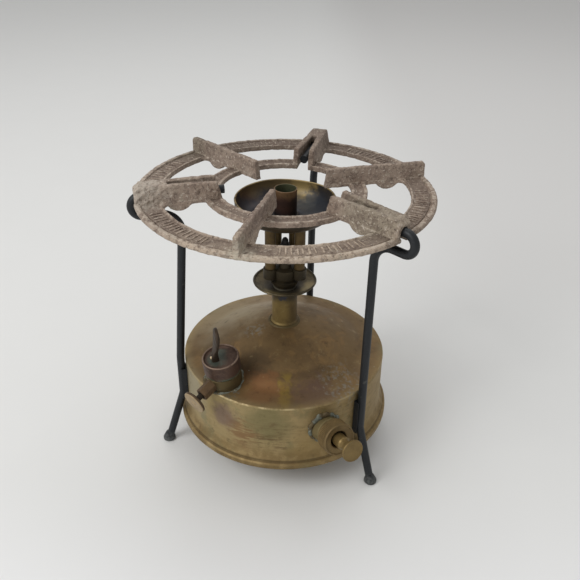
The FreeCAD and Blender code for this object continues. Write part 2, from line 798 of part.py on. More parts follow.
def pot_ring():
    """The cast ring: band, inner ring, six windows, three blades and three leg sockets."""
    body = new_body("pot_ring")
    top = "ring_top_height"
    floor = minus(top, "band_channel")
    revolve(body, [
        ("inner_ring_inner_radius", minus(top, "inner_ring_depth")),
        ("inner_ring_outer_radius", minus(top, "inner_ring_depth")),
        ("inner_ring_outer_radius", minus(top, "web_depth")),
        ("band_window_radius", minus(top, "web_depth")),
        ("band_window_radius", minus(top, "band_depth")),
        (minus("band_outer_radius", "band_taper"), minus(top, "band_depth")),
        ("band_outer_radius", minus(top, "band_edge")),
        ("band_outer_radius", top),
        (minus("band_outer_radius", "band_lip"), top),
        (minus("band_outer_radius", "band_lip", "band_channel"), floor),
        (plus("band_window_radius", "band_lip", "band_channel"), floor),
        (plus("band_window_radius", "band_lip"), top),
        ("inner_ring_inner_radius", top),
    ], "band")
    sketch = new_sketch(body, "XY_Plane", "windows_outline")
    draw_path(sketch, window(1))
    draw_path(sketch, window(-1))
    windows = extrude(body, "Pocket", sketch, "(2 * ring_top_height + 10)", "windows", middle=True)
    DOC.recompute()
    repeat(body, [windows], "3", "windows_round")

    sketch = new_sketch(body, "XZ_Plane", "blade_outline")
    outer = minus("band_outer_radius", "blade_end")
    foot = minus("blade_inner_radius", "blade_end_slant")
    draw_path(sketch, arm_outline("blade_inner_radius", outer, "arm_drop", foot))
    blade = extrude(body, "Pad", sketch, "blade_thickness", "blade", middle=True)
    DOC.recompute()
    repeat(body, [blade], "3", "blades")

    toward_socket = Placement(Vector(), Rotation(Vector(0, 1, 0), 60))
    sketch = new_sketch(body, "XZ_Plane", "socket_outline", toward_socket)
    outer = minus("band_outer_radius", "socket_end")
    inner = plus("socket_inner_radius", "socket_end_slant")
    draw_path(sketch, arm_outline(inner, outer, "web_depth", "socket_inner_radius"))
    socket = extrude(body, "Pad", sketch, "socket_width", "socket", middle=True)
    DOC.recompute()
    repeat(body, [socket], "3", "sockets")

    sketch = new_sketch(body, "XY_Plane", "slot_outline", spin(60))
    half = "(socket_slot / 2)"
    start = minus("inner_ring_inner_radius", "10")
    draw_path(sketch, [
        (start, "(0 - %s)" % half),
        ("socket_slot_end_radius", "(0 - %s)" % half),
        ("socket_slot_end_radius", half),
        (start, half),
    ])
    slot = extrude(body, "Pocket", sketch, "(2 * ring_top_height + 40)", "slot", middle=True)
    DOC.recompute()
    repeat(body, [slot], "3", "slots")

    at_wire = spin(60).multiply(Placement(Vector(0, 0, number(WIRE_HEIGHT)), Rotation()))
    sketch = new_sketch(body, "XY_Plane", "notch_outline", at_wire)
    half = "(leg_wire_radius + leg_hole_gap)"
    start = minus("band_outer_radius", "hook_notch_depth")
    draw_path(sketch, [
        (start, "(0 - %s)" % half),
        ("(band_outer_radius + 5)", "(0 - %s)" % half),
        ("(band_outer_radius + 5)", half),
        (start, half),
    ])
    notch = extrude(body, "Pocket", sketch, "(band_depth + leg_wire_rise + 20)", "notch")
    DOC.recompute()
    repeat(body, [notch], "3", "notches")

    sketch = new_sketch(body, "YZ_Plane", "leg_hole_outline", toward_socket)
    draw_circle(sketch, "0", WIRE_HEIGHT, "(leg_wire_radius + leg_hole_gap)")
    hole = extrude(body, "Pocket", sketch, "(band_outer_radius + 10)", "leg_hole", backwards=True)
    DOC.recompute()
    repeat(body, [hole], "3", "leg_holes")
    return keep(body, spin(number("ring_turn")))


# ---------------------------------------------------------------------------------------
# Legs and their clips
# ---------------------------------------------------------------------------------------
def leg_path(reach, rod, lean):
    """Centre line in a radial plane: rod, hook, shoulder, upright, bend and splayed foot.

    The upright leans inward by an angle above the clip.  The shoulder is an arc that touches
    both the leaning upright and the level run that comes back under the ring from the hook.
    """
    middle = "(%s - hook_radius)" % WIRE_HEIGHT
    run_height = "(%s - 2 * hook_radius)" % WIRE_HEIGHT
    lift = "(%s - leg_shoulder_radius - leg_lean_height)" % run_height
    centre = ("(%s + leg_shoulder_radius / cos(%s) - %s * tan(%s))" % (LEG_RADIUS, lean, lift, lean),
              "(%s - leg_shoulder_radius)" % run_height)

    def on_shoulder(angle):
        """A point of the shoulder arc, by its angle above the outward direction."""
        return tuple("(%s + leg_shoulder_radius * %s(%s))" % (spot, way, angle)
                     for spot, way in zip(centre, ("cos", "sin")))

    shoulder = [on_shoulder("90"), (VIA,) + on_shoulder("(135 + %s / 2)" % lean),
                on_shoulder("(180 + %s)" % lean)]
    return [
        (minus(reach, rod), WIRE_HEIGHT),
        (reach, WIRE_HEIGHT),
        (VIA, plus(reach, "hook_radius"), middle),
        (reach, run_height),
    ] + shoulder + lean_bend(lean) + foot_bend()


def lean_bend(lean):
    """The soft bend above the clip where a leaning upright starts; none on a straight one."""
    if number(lean) == 0:
        return []
    tangent = "(leg_lean_bend * tan(%s / 2))" % lean
    return [
        ("(%s - %s * sin(%s))" % (LEG_RADIUS, tangent, lean), "(leg_lean_height + %s * cos(%s))" % (tangent, lean)),
        (VIA, "(%s - leg_lean_bend * (1 / cos(%s / 2) - 1) * cos(%s / 2))" % (LEG_RADIUS, lean, lean),
         "(leg_lean_height - leg_lean_bend * (1 / cos(%s / 2) - 1) * sin(%s / 2))" % (lean, lean)),
        (LEG_RADIUS, "(leg_lean_height - %s)" % tangent),
    ]


def foot_bend():
    """The bend below the clip and the straight run out to the foot."""
    splay = "atan((foot_centre_radius - %s) / leg_bend_height)" % LEG_RADIUS
    tangent = "(leg_bend_radius * tan(%s / 2))" % splay
    sag = "(leg_bend_radius * (1 / cos(%s / 2) - 1))" % splay
    return [
        (LEG_RADIUS, "(leg_bend_height + %s)" % tangent),
        (VIA, "(%s + %s * cos(%s / 2))" % (LEG_RADIUS, sag, splay),
         "(leg_bend_height + %s * sin(%s / 2))" % (sag, splay)),
        ("(%s + %s * sin(%s))" % (LEG_RADIUS, tangent, splay),
         "(leg_bend_height - %s * cos(%s))" % (tangent, splay)),
        (minus("foot_centre_radius", "0.3"), "(0.6 * foot_pad_height)"),
    ]


def leg(label, angle, reach, rod, lean):
    """One wire leg: swept wire with a forged button foot."""
    body = new_body(label)
    spine = new_sketch(body, "XZ_Plane", label + "_path")
    sides = draw_path(spine, leg_path(reach, rod, lean), closed=False)
    start = Placement(Vector(0, 0, number(minus(reach, rod))), Rotation())
    section = new_sketch(body, "YZ_Plane", label + "_section", start)
    draw_circle(section, "0", WIRE_HEIGHT, "leg_wire_radius")
    DOC.recompute()
    wire = body.newObject("PartDesign::AdditivePipe", label + "_wire")
    wire.Profile = section
    wire.Spine = (spine, ["Edge%d" % (index + 1) for index in range(len(sides))])
    button = new_sketch(body, "XZ_Plane", label + "_button")
    axis = button.addGeometry(Part.LineSegment(
        Vector(number("foot_centre_radius"), 0, 0), Vector(number("foot_centre_radius"), 10, 0)), True)
    pin_point(button, axis, 1, "foot_centre_radius", "0")
    pin_point(button, axis, 2, "foot_centre_radius", "foot_neck_height + 1")
    draw_path(button, [
        ("foot_centre_radius", "0"),
        (plus("foot_centre_radius", "foot_radius", "(0 - 0.6)"), "0"),
        (plus("foot_centre_radius", "foot_radius"), "0.8"),
        (plus("foot_centre_radius", "foot_radius"), "foot_pad_height"),
        (plus("foot_centre_radius", "0.8 * leg_wire_radius"), "foot_neck_height"),
        ("foot_centre_radius", "foot_neck_height"),
    ])
    foot = body.newObject("PartDesign::Revolution", label + "_foot")
    foot.Profile = button
    foot.ReferenceAxis = (button, ["Axis0"])
    foot.Angle = 360
    return keep(body, spin(angle))


def leg_clip(label, angle):
    """A sheet-steel channel soldered upright on the wall, open outward round the wire."""
    body = new_body(label)
    at = Placement(Vector(0, 0, number(on_tank("clip_low_height"))), Rotation())
    sketch = new_sketch(body, "XY_Plane", label + "_outline", at)
    half = "(leg_wire_radius + leg_tank_gap + clip_sheet)"
    back = minus(LEG_RADIUS, "leg_wire_radius", "0.1", "clip_sheet")
    front = plus(back, "clip_depth")
    draw_path(sketch, [
        (back, "(0 - %s)" % half),
        (front, "(0 - %s)" % half),
        (front, "(0 - (%s - clip_sheet))" % half),
        (plus(back, "clip_sheet"), "(0 - (%s - clip_sheet))" % half),
        (plus(back, "clip_sheet"), minus(half, "clip_sheet")),
        (front, minus(half, "clip_sheet")),
        (front, half),
        (back, half),
    ])
    extrude(body, "Pad", sketch, "clip_length", label + "_channel")
    return keep(body, spin(angle))


# ---------------------------------------------------------------------------------------
# Filler and air screw
# ---------------------------------------------------------------------------------------
def filler_boss(envelope):
    """The filler's boss with its neck and the air screw's sleeve, saddled on the tank."""
    frame, screw = filler_frame(), air_screw_frame()
    blank = new_body("filler_blank")
    revolve(blank, [
        ("0", "(0 - filler_boss_root)"),
        ("filler_boss_radius", "(0 - filler_boss_root)"),
        ("filler_boss_radius", minus("filler_boss_height", "0.8")),
        (minus("filler_boss_radius", "0.8"), "filler_boss_height"),
        ("filler_neck_radius", "filler_boss_height"),
        ("filler_neck_radius", "filler_neck_height"),
        ("0", "filler_neck_height"),
    ], "filler_blank_turned")
    blank.Placement = frame
    sleeve = rod("air_sleeve", "air_sleeve_radius", "air_sleeve_reach", screw)
    boss = boolean("filler_boss_solid", "fuse", blank, [sleeve])
    bore = rod("filler_bore", "filler_bore_radius", "(filler_neck_height + 3 * filler_boss_root)",
               shifted(frame, 0, 0, -2 * number("filler_boss_root")))
    thread = rod("air_bore", "(air_stem_radius + running_gap)", "(2 * air_sleeve_reach)", screw)
    return keep(boolean("filler_boss", "cut", boss, [envelope, bore, thread]))


def filler_cap():
    """Seal, cupped cap with its hub, the thumb wing and the rivet that holds it."""
    frame = filler_frame()
    seal_low = plus("filler_neck_height", "face_gap")
    seal_top = plus(seal_low, "seal_thickness")
    turned("filler_seal", [
        ("filler_bore_radius", seal_low),
        ("(filler_neck_radius - 0.1)", seal_low),
        ("(filler_neck_radius - 0.1)", seal_top),
        ("filler_bore_radius", seal_top),
    ], frame)
    skirt = plus("filler_neck_radius", "cap_thread_gap")
    under = plus(seal_top, "face_gap")
    low = plus("filler_boss_height", "0.3")
    rim = plus(low, "cap_height")
    plate = minus(rim, "cap_cup_depth")
    wall = minus("cap_radius", "cap_rim_wall")
    turned("filler_cap", [
        ("0", under),
        (skirt, under),
        (skirt, low),
        (minus("cap_radius", "0.7"), low),
        ("cap_radius", plus(low, "0.9")),
        ("cap_radius", minus(rim, "0.7")),
        (minus("cap_radius", "0.6"), rim),
        (plus(wall, "0.4"), rim),
        (wall, minus(rim, "0.5")),
        (wall, plus(plate, "1")),
        (minus(wall, "1"), plate),
        ("cap_hub_radius", plate),
        (minus("cap_hub_radius", "0.5"), plus(plate, "cap_hub_height")),
        ("0", plus(plate, "cap_hub_height")),
    ], frame)
    cap = PARTS.pop()
    wing_frame = frame.multiply(spin(number("wing_turn")))
    body = new_body("cap_wing")
    sketch = new_sketch(body, "XZ_Plane", "wing_outline")
    base = plus(plate, "cap_hub_height", "(0 - wing_sink)")
    waist = plus(base, "wing_waist_height")
    tip = plus(base, "wing_height")
    left = [
        ("(0 - wing_root_width / 2)", base),
        ("(0 - wing_root_width / 2)", waist),
        (VIA, "(0 - 0.42 * wing_tip_width)", "((%s + %s) / 2 - 2)" % (waist, tip)),
        ("(0 - wing_tip_width / 2)", "(%s - 5)" % tip),
    ]
    right = [
        ("(wing_tip_width / 2)", "(%s - 5)" % tip),
        (VIA, "(0.42 * wing_tip_width)", "((%s + %s) / 2 - 2)" % (waist, tip)),
        ("(wing_root_width / 2)", waist),
        ("(wing_root_width / 2)", base),
    ]
    draw_path(sketch, left + [(VIA, "0", tip)] + right)
    extrude(body, "Pad", sketch, "wing_thickness", "wing", middle=True)
    keep(body, wing_frame)
    slot = DOC.addObject("Part::Box", "wing_slot")
    slot.setExpression("Length", bound("(wing_root_width + 2 * face_gap)"))
    slot.setExpression("Width", bound("(wing_thickness + 2 * face_gap)"))
    slot.setExpression("Height", bound("(cap_hub_height + wing_sink)"))
    slot.Placement = shifted(wing_frame, -number("wing_root_width / 2 + face_gap"),
                             -number("wing_thickness / 2 + face_gap"), number(base) - number("face_gap"))
    across = Placement(Vector(), Rotation(Vector(1, 0, 0), 90))
    level = number(plus(plate, "cap_hub_height / 2"))
    half = number("cap_hub_radius + rivet_head_height")
    rivet_frame = shifted(wing_frame, 0, half, level).multiply(across)
    hole = rod("rivet_hole", "(rivet_radius + solder_gap)", "(4 * cap_hub_radius)", rivet_frame)
    cap.Label = "filler_cap_blank"
    keep(boolean("filler_cap", "cut", cap, [slot, hole]))
    drilled = PARTS[-2]
    drilled.Label = "cap_wing_blank"
    PARTS.remove(drilled)
    wing_hole = rod("wing_rivet_hole", "(rivet_radius + solder_gap)", "(4 * cap_hub_radius)", rivet_frame)
    keep(boolean("cap_wing", "cut", drilled, [wing_hole]))
    reach = "(2 * (cap_hub_radius + rivet_head_height))"
    turned("wing_rivet", [
        ("0", "0"),
        (minus("rivet_head_radius", "0.5"), "0"),
        ("rivet_head_radius", "(rivet_head_height - 0.1)"),
        ("rivet_radius", "(rivet_head_height - 0.1)"),
        ("rivet_radius", "(%s - rivet_head_height + 0.1)" % reach),
        ("rivet_head_radius", "(%s - rivet_head_height + 0.1)" % reach),
        (minus("rivet_head_radius", "0.5"), reach),
        ("0", reach),
    ], rivet_frame)


def air_screw():
    """The screw's stem with its conical point, and the thin knurled head riveted on it."""
    frame = air_screw_frame()
    back = "air_head_reach"
    front = plus(back, "air_head_thickness")
    turned("air_screw_stem", [
        ("0", "(air_stem_inner - 2.4)"),
        ("air_stem_radius", "air_stem_inner"),
        ("air_stem_radius", "(air_neck_start - 0.6)"),
        ("air_neck_radius", "air_neck_start"),
        ("air_neck_radius", minus(back, "face_gap")),
        ("air_rivet_radius", minus(back, "face_gap")),
        ("air_rivet_radius", front),
        ("0", front),
    ], frame)
    body = new_body("air_screw_head")
    revolve(body, [
        ("(air_rivet_radius + solder_gap)", back),
        ("(air_head_radius - 0.4)", back),
        ("air_head_radius", plus(back, "0.4")),
        ("air_head_radius", minus(front, "0.4")),
        ("(air_head_radius - 0.4)", front),
        ("(air_rivet_radius + solder_gap)", front),
    ], "air_head")
    knurl(body, "air_head_radius", minus(back, "1"), "(air_head_thickness + 2)", "head_knurl")
    keep(body, frame)


# ---------------------------------------------------------------------------------------
# Pump
# ---------------------------------------------------------------------------------------
BARREL_BORE = "(pump_barrel_radius - pump_barrel_wall)"
PISTON = "(0 - pump_rod_inner + piston_nut_height)"


def pump_housing(envelope):
    """Boss saddled on the wall, and the barrel that runs through it into the tank."""
    frame = pump_frame()
    bore = "(pump_barrel_radius + solder_gap)"
    blank = new_body("pump_boss_blank")
    revolve(blank, [
        (bore, "(0 - pump_boss_inside)"),
        ("pump_boss_radius", "(0 - pump_boss_inside)"),
        ("pump_boss_radius", "(pump_boss_outside - 0.6)"),
        ("(pump_boss_radius - 0.6)", "pump_boss_outside"),
        (bore, "pump_boss_outside"),
    ], "pump_boss_turned")
    blank.Placement = frame
    keep(boolean("pump_boss", "cut", blank, [envelope]))
    floor = "(0 - pump_barrel_inside)"
    turned("pump_barrel", [
        ("(valve_spigot_radius + solder_gap)", floor),
        ("pump_barrel_radius", floor),
        ("pump_barrel_radius", "pump_barrel_outside"),
        (BARREL_BORE, "pump_barrel_outside"),
        (BARREL_BORE, plus(floor, "pump_barrel_end")),
        ("(valve_spigot_radius + solder_gap)", plus(floor, "pump_barrel_end")),
    ], frame)


def pump_cap():
    """The knurled cap with its recessed face, and the leather washer inside it."""
    frame = pump_frame()
    skirt = plus("pump_barrel_radius", "cap_thread_gap")
    washer_low = plus("pump_barrel_outside", "face_gap")
    washer_top = plus(washer_low, "pump_washer_thickness")
    under = plus(washer_top, "face_gap")
    face = minus("pump_cap_front", "pump_cap_recess")
    body = new_body("pump_cap")
    revolve(body, [
        ("pump_cap_hole_radius", under),
        (skirt, under),
        (skirt, "pump_cap_start"),
        ("(pump_cap_radius - 0.6)", "pump_cap_start"),
        ("pump_cap_radius", "(pump_cap_start + 0.6)"),
        ("pump_cap_radius", "(pump_cap_front - 0.8)"),
        ("(pump_cap_radius - 0.6)", "pump_cap_front"),
        (minus("pump_cap_radius", "pump_cap_rim"), "pump_cap_front"),
        (minus("pump_cap_radius", "pump_cap_rim", "0.5"), face),
        ("pump_cap_hole_radius", face),
    ], "cap")
    knurl(body, "pump_cap_radius", "pump_cap_start + 1.6", "(pump_cap_front - pump_cap_start - 3.4)", "cap_knurl")
    keep(body, frame)
    turned("pump_cap_washer", [
        ("pump_cap_hole_radius", washer_low),
        ("pump_barrel_radius", washer_low),
        ("pump_barrel_radius", washer_top),
        ("pump_cap_hole_radius", washer_top),
    ], frame)


def plunger():
    """Rod, knob, and the piston: backing plate, leather cup and nut."""
    frame = pump_frame()
    start = "(0 - pump_rod_inner)"
    blind = "(knob_collar_start + knob_collar_length)"
    turned("pump_rod", [
        ("0", start),
        ("pump_rod_radius", start),
        ("pump_rod_radius", minus(blind, "face_gap")),
        ("0", minus(blind, "face_gap")),
    ], frame)
    disc_back = "(knob_front - knob_edge)"
    turned("pump_knob", [
        ("(pump_rod_radius + solder_gap)", "knob_collar_start"),
        ("(knob_collar_radius - 0.6)", "knob_collar_start"),
        ("knob_collar_radius", "(knob_collar_start + 0.8)"),
        ("knob_collar_radius", "(%s - 1)" % blind),
        ("knob_waist_radius", plus(blind, "0.6")),
        ("knob_waist_radius", plus(blind, "1.6")),
        (VIA, "(knob_waist_radius + 0.28 * (knob_radius - knob_waist_radius))",
         "(%s + 0.72 * (%s - %s) + 0.6)" % (blind, disc_back, blind)),
        ("knob_radius", disc_back),
        ("knob_radius", "(knob_front - 0.7)"),
        ("(knob_radius - 0.7)", "knob_front"),
        ("0", "knob_front"),
        ("0", blind),
        ("(pump_rod_radius + solder_gap)", blind),
    ], frame)
    hole = "(pump_rod_radius + solder_gap)"
    turned("piston_nut", [
        (hole, start),
        ("piston_nut_radius", start),
        ("piston_nut_radius", PISTON),
        (hole, PISTON),
    ], frame)
    leather = "(%s - leather_gap)" % BARREL_BORE
    leather_top = plus(PISTON, "leather_thickness")
    skirt_low = minus(leather_top, "leather_skirt")
    turned("pump_leather", [
        (hole, PISTON),
        ("(%s - leather_thickness)" % leather, PISTON),
        ("(%s - 0.6 * leather_thickness)" % leather, skirt_low),
        (leather, skirt_low),
        (leather, "(%s - 0.8)" % leather_top),
        ("(%s - 0.8)" % leather, leather_top),
        (hole, leather_top),
    ], frame)
    turned("piston_plate", [
        (hole, leather_top),
        ("piston_plate_radius", leather_top),
        ("piston_plate_radius", plus(leather_top, "piston_plate_thickness")),
        (hole, plus(leather_top, "piston_plate_thickness")),
    ], frame)


def check_valve():
    """The valve's body in the barrel's end, the sprung pip with its seal, and the spring."""
    frame = pump_frame()
    mouth = "(0 - pump_barrel_inside)"
    seat = minus(mouth, "valve_wall")
    end = minus(mouth, "valve_length")
    chamber_end = plus(end, "valve_wall")
    turned("valve_body", [
        ("valve_port_radius", plus(mouth, "pump_barrel_end")),
        ("valve_spigot_radius", plus(mouth, "pump_barrel_end")),
        ("valve_spigot_radius", mouth),
        ("valve_radius", mouth),
        ("valve_radius", "(%s + 0.8)" % end),
        ("(valve_radius - 0.8)", end),
        ("(2 * valve_port_radius)", end),
        ("(2 * valve_port_radius)", chamber_end),
        ("valve_chamber_radius", chamber_end),
        ("valve_chamber_radius", seat),
        ("valve_port_radius", seat),
    ], frame)
    seal_top = minus(seat, "face_gap")
    holder_top = minus(seal_top, "pip_thickness")
    holder_low = minus(holder_top, "pip_holder_thickness")
    turned("pip_seal", [
        ("0", holder_top),
        ("(pip_radius - 0.3)", holder_top),
        ("(pip_radius - 0.3)", seal_top),
        ("0", seal_top),
    ], frame)
    turned("valve_pip", [
        ("0", holder_low),
        ("pip_radius", holder_low),
        ("pip_radius", holder_top),
        ("0", holder_top),
    ], frame)
    start = number(plus(chamber_end, "valve_spring_wire", "face_gap"))
    stop = number(minus(holder_low, "valve_spring_wire", "face_gap"))
    turns = number("valve_spring_turns")
    coil = Part.makeHelix((stop - start) / turns, stop - start, number("valve_spring_radius"))
    wire = Part.Circle(Vector(number("valve_spring_radius"), 0, 0), Vector(0, 1, 0), number("valve_spring_wire"))
    profile = Part.Wire([wire.toShape()])
    spring = DOC.addObject("Part::Feature", "valve_spring")
    spring.Label = "valve_spring"
    spring.Shape = Part.Wire(coil).makePipeShell([profile], True, True)
    keep(spring, shifted(frame, 0, 0, start))


# ---------------------------------------------------------------------------------------
# Build, check and write
# ---------------------------------------------------------------------------------------
def build():
    fill_sheet()
    envelope = tank_envelope()
    tank_shell()
    tank_bottom()
    riser_and_pickup()
    spirit_cup()
    burner_base()
    burner_tubes()
    jet()
    burner_top()
    pot_ring()
    first_leg = number("ring_turn") + 60
    legs = (("back", "0"), ("left", "leg_left_lean"), ("right", "0"))
    for step, (name, lean) in enumerate(legs):
        leg("leg_" + name, first_leg + 120 * step, "leg_%s_reach" % name, "leg_%s_rod" % name, lean)
        leg_clip("leg_clip_" + name, first_leg + 120 * step)
    filler_boss(envelope)
    filler_cap()
    air_screw()
    pump_housing(envelope)
    pump_cap()
    plunger()
    check_valve()
    DOC.recompute()


def check():
    """Stop if any object failed or any sub-part has no valid solid."""
    for item in DOC.Objects:
        if "Invalid" in item.State or "Error" in item.State:
            raise RuntimeError("%s failed: %s" % (item.Label, item.State))
    for item in PARTS:
        shape = item.Shape
        if shape.isNull() or not shape.isValid() or not shape.Solids:
            raise RuntimeError("%s has no valid solid" % item.Label)


def write():
    os.makedirs("parts", exist_ok=True)
    for item in PARTS:
        item.Shape.exportStep("parts/%s.step" % item.Label)
        print("%-18s solids %d  volume %.1f" % (item.Label, len(item.Shape.Solids), item.Shape.Volume))


build()
check()
write()
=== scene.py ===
from contextlib import contextmanager
from functools import partialmethod
from math import acos, atan2, cos, pi, radians, sin, sqrt, tan

import bmesh
import bpy
import numpy as np
from mathutils import Matrix
from numpy.linalg import norm


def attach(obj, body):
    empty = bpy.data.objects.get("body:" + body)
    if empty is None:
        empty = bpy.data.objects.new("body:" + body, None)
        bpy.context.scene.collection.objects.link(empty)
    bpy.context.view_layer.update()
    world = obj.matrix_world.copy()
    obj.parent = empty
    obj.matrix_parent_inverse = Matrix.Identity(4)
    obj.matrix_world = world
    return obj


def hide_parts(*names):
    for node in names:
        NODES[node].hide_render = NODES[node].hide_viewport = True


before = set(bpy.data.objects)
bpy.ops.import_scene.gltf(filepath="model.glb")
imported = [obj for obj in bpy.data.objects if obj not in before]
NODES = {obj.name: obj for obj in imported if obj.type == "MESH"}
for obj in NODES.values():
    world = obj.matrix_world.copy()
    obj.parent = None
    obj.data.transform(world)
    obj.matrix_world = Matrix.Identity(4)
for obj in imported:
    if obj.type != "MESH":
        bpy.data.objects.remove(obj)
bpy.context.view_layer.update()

# Looks of a brass kerosene pressure stove.  Shapes are worked out in millimetres and put into
# the mesh in metres; Z is up, the table is z = 0 and the tank's axis is x = y = 0.
MM = 0.001
SCENE = bpy.context.scene
SOCKET_ANGLES = (74.6, 194.6, 314.6)
BLADE_ANGLES = (14.6, 134.6, 254.6)


# ---- Points ----
def turned_by(angle):
    """The matrix that turns points by an angle in degrees about Z."""
    c, s = cos(radians(angle)), sin(radians(angle))
    return np.array([[c, -s, 0], [s, c, 0], [0, 0, 1]])


def frame_along(origin, azimuth, rise):
    """A place with its third axis along a direction: azimuth and rise in degrees.

    The second axis is level and the first completes the three.
    """
    a, e = radians(azimuth), radians(rise)
    third = np.array([cos(e) * cos(a), cos(e) * sin(a), sin(e)])
    second = np.array([-sin(a), cos(a), 0])
    first = np.cross(second, third)
    return np.array(origin, float), np.stack([first, second, third])


def placed(points, place):
    """Points written in a place's axes, as points of the stove."""
    origin, axes = place
    return points @ axes + origin


def at_azimuth(azimuth, reach, height):
    """The point at a reach and a height over an azimuth in degrees."""
    a = radians(azimuth)
    return np.array([reach * cos(a), reach * sin(a), height])


PUMP = frame_along(at_azimuth(293, 84, 61), 299, 12.6)
FILLER = frame_along(at_azimuth(229, 69.5, 86.4), 229, 81)
AIR = (FILLER[0] + 8 * FILLER[1][2], frame_along((0, 0, 0), 229, -18)[1])


def ripple(points, size, seed, waves=14):
    """Smooth uneven noise between about -1 and 1 at points, with bumps of a size in mm.

    It is the sum of plane sine waves in fixed random directions, each of the form
    sin(direction . point * 2 pi / size + phase), divided by the root of their number.
    """
    rng = np.random.default_rng(seed)
    total = np.zeros(points.shape[:-1])
    for _ in range(waves):
        direction = rng.normal(size=3)
        direction *= rng.uniform(0.6, 1.5) / norm(direction)
        total += np.sin(points @ direction * (2 * pi / size) + rng.uniform(0, 2 * pi))
    return total / sqrt(waves) * 0.8


def rounded(corners, step=1, closed=True):
    """A profile through corners (across, up, fillet radius), as an array of points.

    Every corner becomes an arc that touches both its sides; the arc's centre lies on the
    bisector at radius / sin(half the angle).  Straight runs get points every step or so.
    """
    spots = np.array([corner[:2] for corner in corners], float)
    count = len(spots)
    arcs = []
    for i, (here, corner) in enumerate(zip(spots, corners)):
        arcs.append(here[None])
        if len(corner) < 3 or not closed and i in (0, count - 1):
            continue
        back, ahead = spots[i - 1] - here, spots[(i + 1) % count] - here
        sides = norm(back), norm(ahead)
        back, ahead = back / sides[0], ahead / sides[1]
        half = acos(max(-1, min(1, float(back @ ahead)))) / 2
        reach = min(corner[2] / tan(half), 0.48 * sides[0], 0.48 * sides[1])
        radius = reach * tan(half)
        middle = here + (back + ahead) / norm(back + ahead) * radius / sin(half)
        start, end = here + back * reach - middle, here + ahead * reach - middle
        sweep = atan2(start[0] * end[1] - start[1] * end[0], float(start @ end))
        turns = np.linspace(0, sweep, max(3, int(abs(sweep) / radians(18)) + 2))
        c, s = np.cos(turns), np.sin(turns)
        arcs[-1] = middle + np.stack([c * start[0] - s * start[1], s * start[0] + c * start[1]], -1)
    pieces = []
    for i in range(count if closed else count - 1):
        start, end = arcs[i][-1], arcs[(i + 1) % count][0]
        runs = max(1, int(norm(end - start) / step))
        pieces += [arcs[i], start + (end - start) * np.linspace(0, 1, runs + 1)[1:-1, None]]
    return np.concatenate(pieces + ([] if closed else arcs[-1:]))


def bowed(first, middle, last, count=24):
    """Points on the circle through three points (across, up), from the first to the last.

    The centre is where the perpendicular bisectors of the two chords meet.
    """
    p, q, r = (np.array(v, float) for v in (first, middle, last))
    system = np.array([q - p, r - q])
    right = np.array([(q @ q - p @ p) / 2, (r @ r - q @ q) / 2])
    centre = np.linalg.solve(system, right)
    angles = np.unwrap([atan2(*(v - centre)[::-1]) for v in (p, q, r)])
    turns = np.linspace(angles[0], angles[2], count)
    radius = norm(p - centre)
    return centre + radius * np.stack([np.cos(turns), np.sin(turns)], -1)


def round_angles(count):
    """Angles once round, evenly spaced, in radians."""
    return np.linspace(0, 2 * pi, count, endpoint=False)


def lathe(profile, turns=192):
    """A profile (across, up) turned round the third axis: x = across cos a, y = across sin a."""
    angles = round_angles(turns)
    across, up = profile[:, 0, None], profile[:, 1, None]
    return np.stack([across * np.cos(angles), across * np.sin(angles), up + 0 * angles], -1)


def sweep(path, section, scale=1, closed=False, up=(0, 0, 1)):
    """A section (side, up) carried along a path.

    At each point the side axis is the path's direction crossed with up, and the section's
    points are the path's point + side * first + other * second, times the scale there.
    """
    ahead = np.roll(path, -1, 0) - np.roll(path, 1, 0)
    if not closed:
        ahead[0], ahead[-1] = path[1] - path[0], path[-1] - path[-2]
    ahead /= norm(ahead, axis=1)[:, None]
    side = np.cross(ahead, np.array(up, float))
    side /= norm(side, axis=1)[:, None]
    other = np.cross(side, ahead)
    scale = (scale * np.ones(len(path)))[:, None, None]
    first, second = section[None, :, 0, None], section[None, :, 1, None]
    return path[:, None] + first * side[:, None] * scale + second * other[:, None] * scale


def ends_closed(grid):
    """An open sweep with both ends drawn in to their middle points, so that it is closed."""
    first, last = (np.repeat(grid[[row]].mean(1, keepdims=True), grid.shape[1], 1) for row in (0, -1))
    return np.concatenate([first, grid, last])


def ring_section(radius, count=16):
    """Points of a circle, as a section."""
    angles = round_angles(count)
    return radius * np.stack([np.cos(angles), np.sin(angles)], -1)


# ---- Pieces ----
@contextmanager
def opened(mesh):
    """The mesh to work on; afterwards its faces are turned outward and it is written back."""
    work = bmesh.new()
    work.from_mesh(mesh)
    yield work
    bmesh.ops.recalc_face_normals(work, faces=work.faces)
    work.to_mesh(mesh)
    work.free()


def fill_mesh(name, wrapped, capped=()):
    """Join grids of points in mm into one mesh in metres with its faces outward.

    The columns of every grid close into a loop, and so do the rows of a wrapped one.
    """
    spots, quads, base = [], [], 0
    for grid, wraps in [(grid, True) for grid in wrapped] + [(grid, False) for grid in capped]:
        rows, columns = grid.shape[:2]
        index = np.arange(rows * columns).reshape(rows, columns) + base
        if wraps:
            index = np.vstack([index, index[:1]])
        index = np.hstack([index, index[:, :1]])
        corners = [index[:-1, :-1], index[:-1, 1:], index[1:, 1:], index[1:, :-1]]
        quads.append(np.stack(corners, -1).reshape(-1, 4))
        spots.append(grid.reshape(-1, 3))
        base += rows * columns
    mesh = bpy.data.meshes.new(name)
    mesh.from_pydata((np.vstack(spots) * MM).tolist(), [], np.vstack(quads).tolist())
    mesh.validate()
    with opened(mesh) as work:
        bmesh.ops.remove_doubles(work, verts=work.verts, dist=0.002 * MM)
    return mesh


def put(name, data):
    """A new object with its data, in the scene."""
    thing = bpy.data.objects.new(name, data)
    SCENE.collection.objects.link(thing)
    return thing


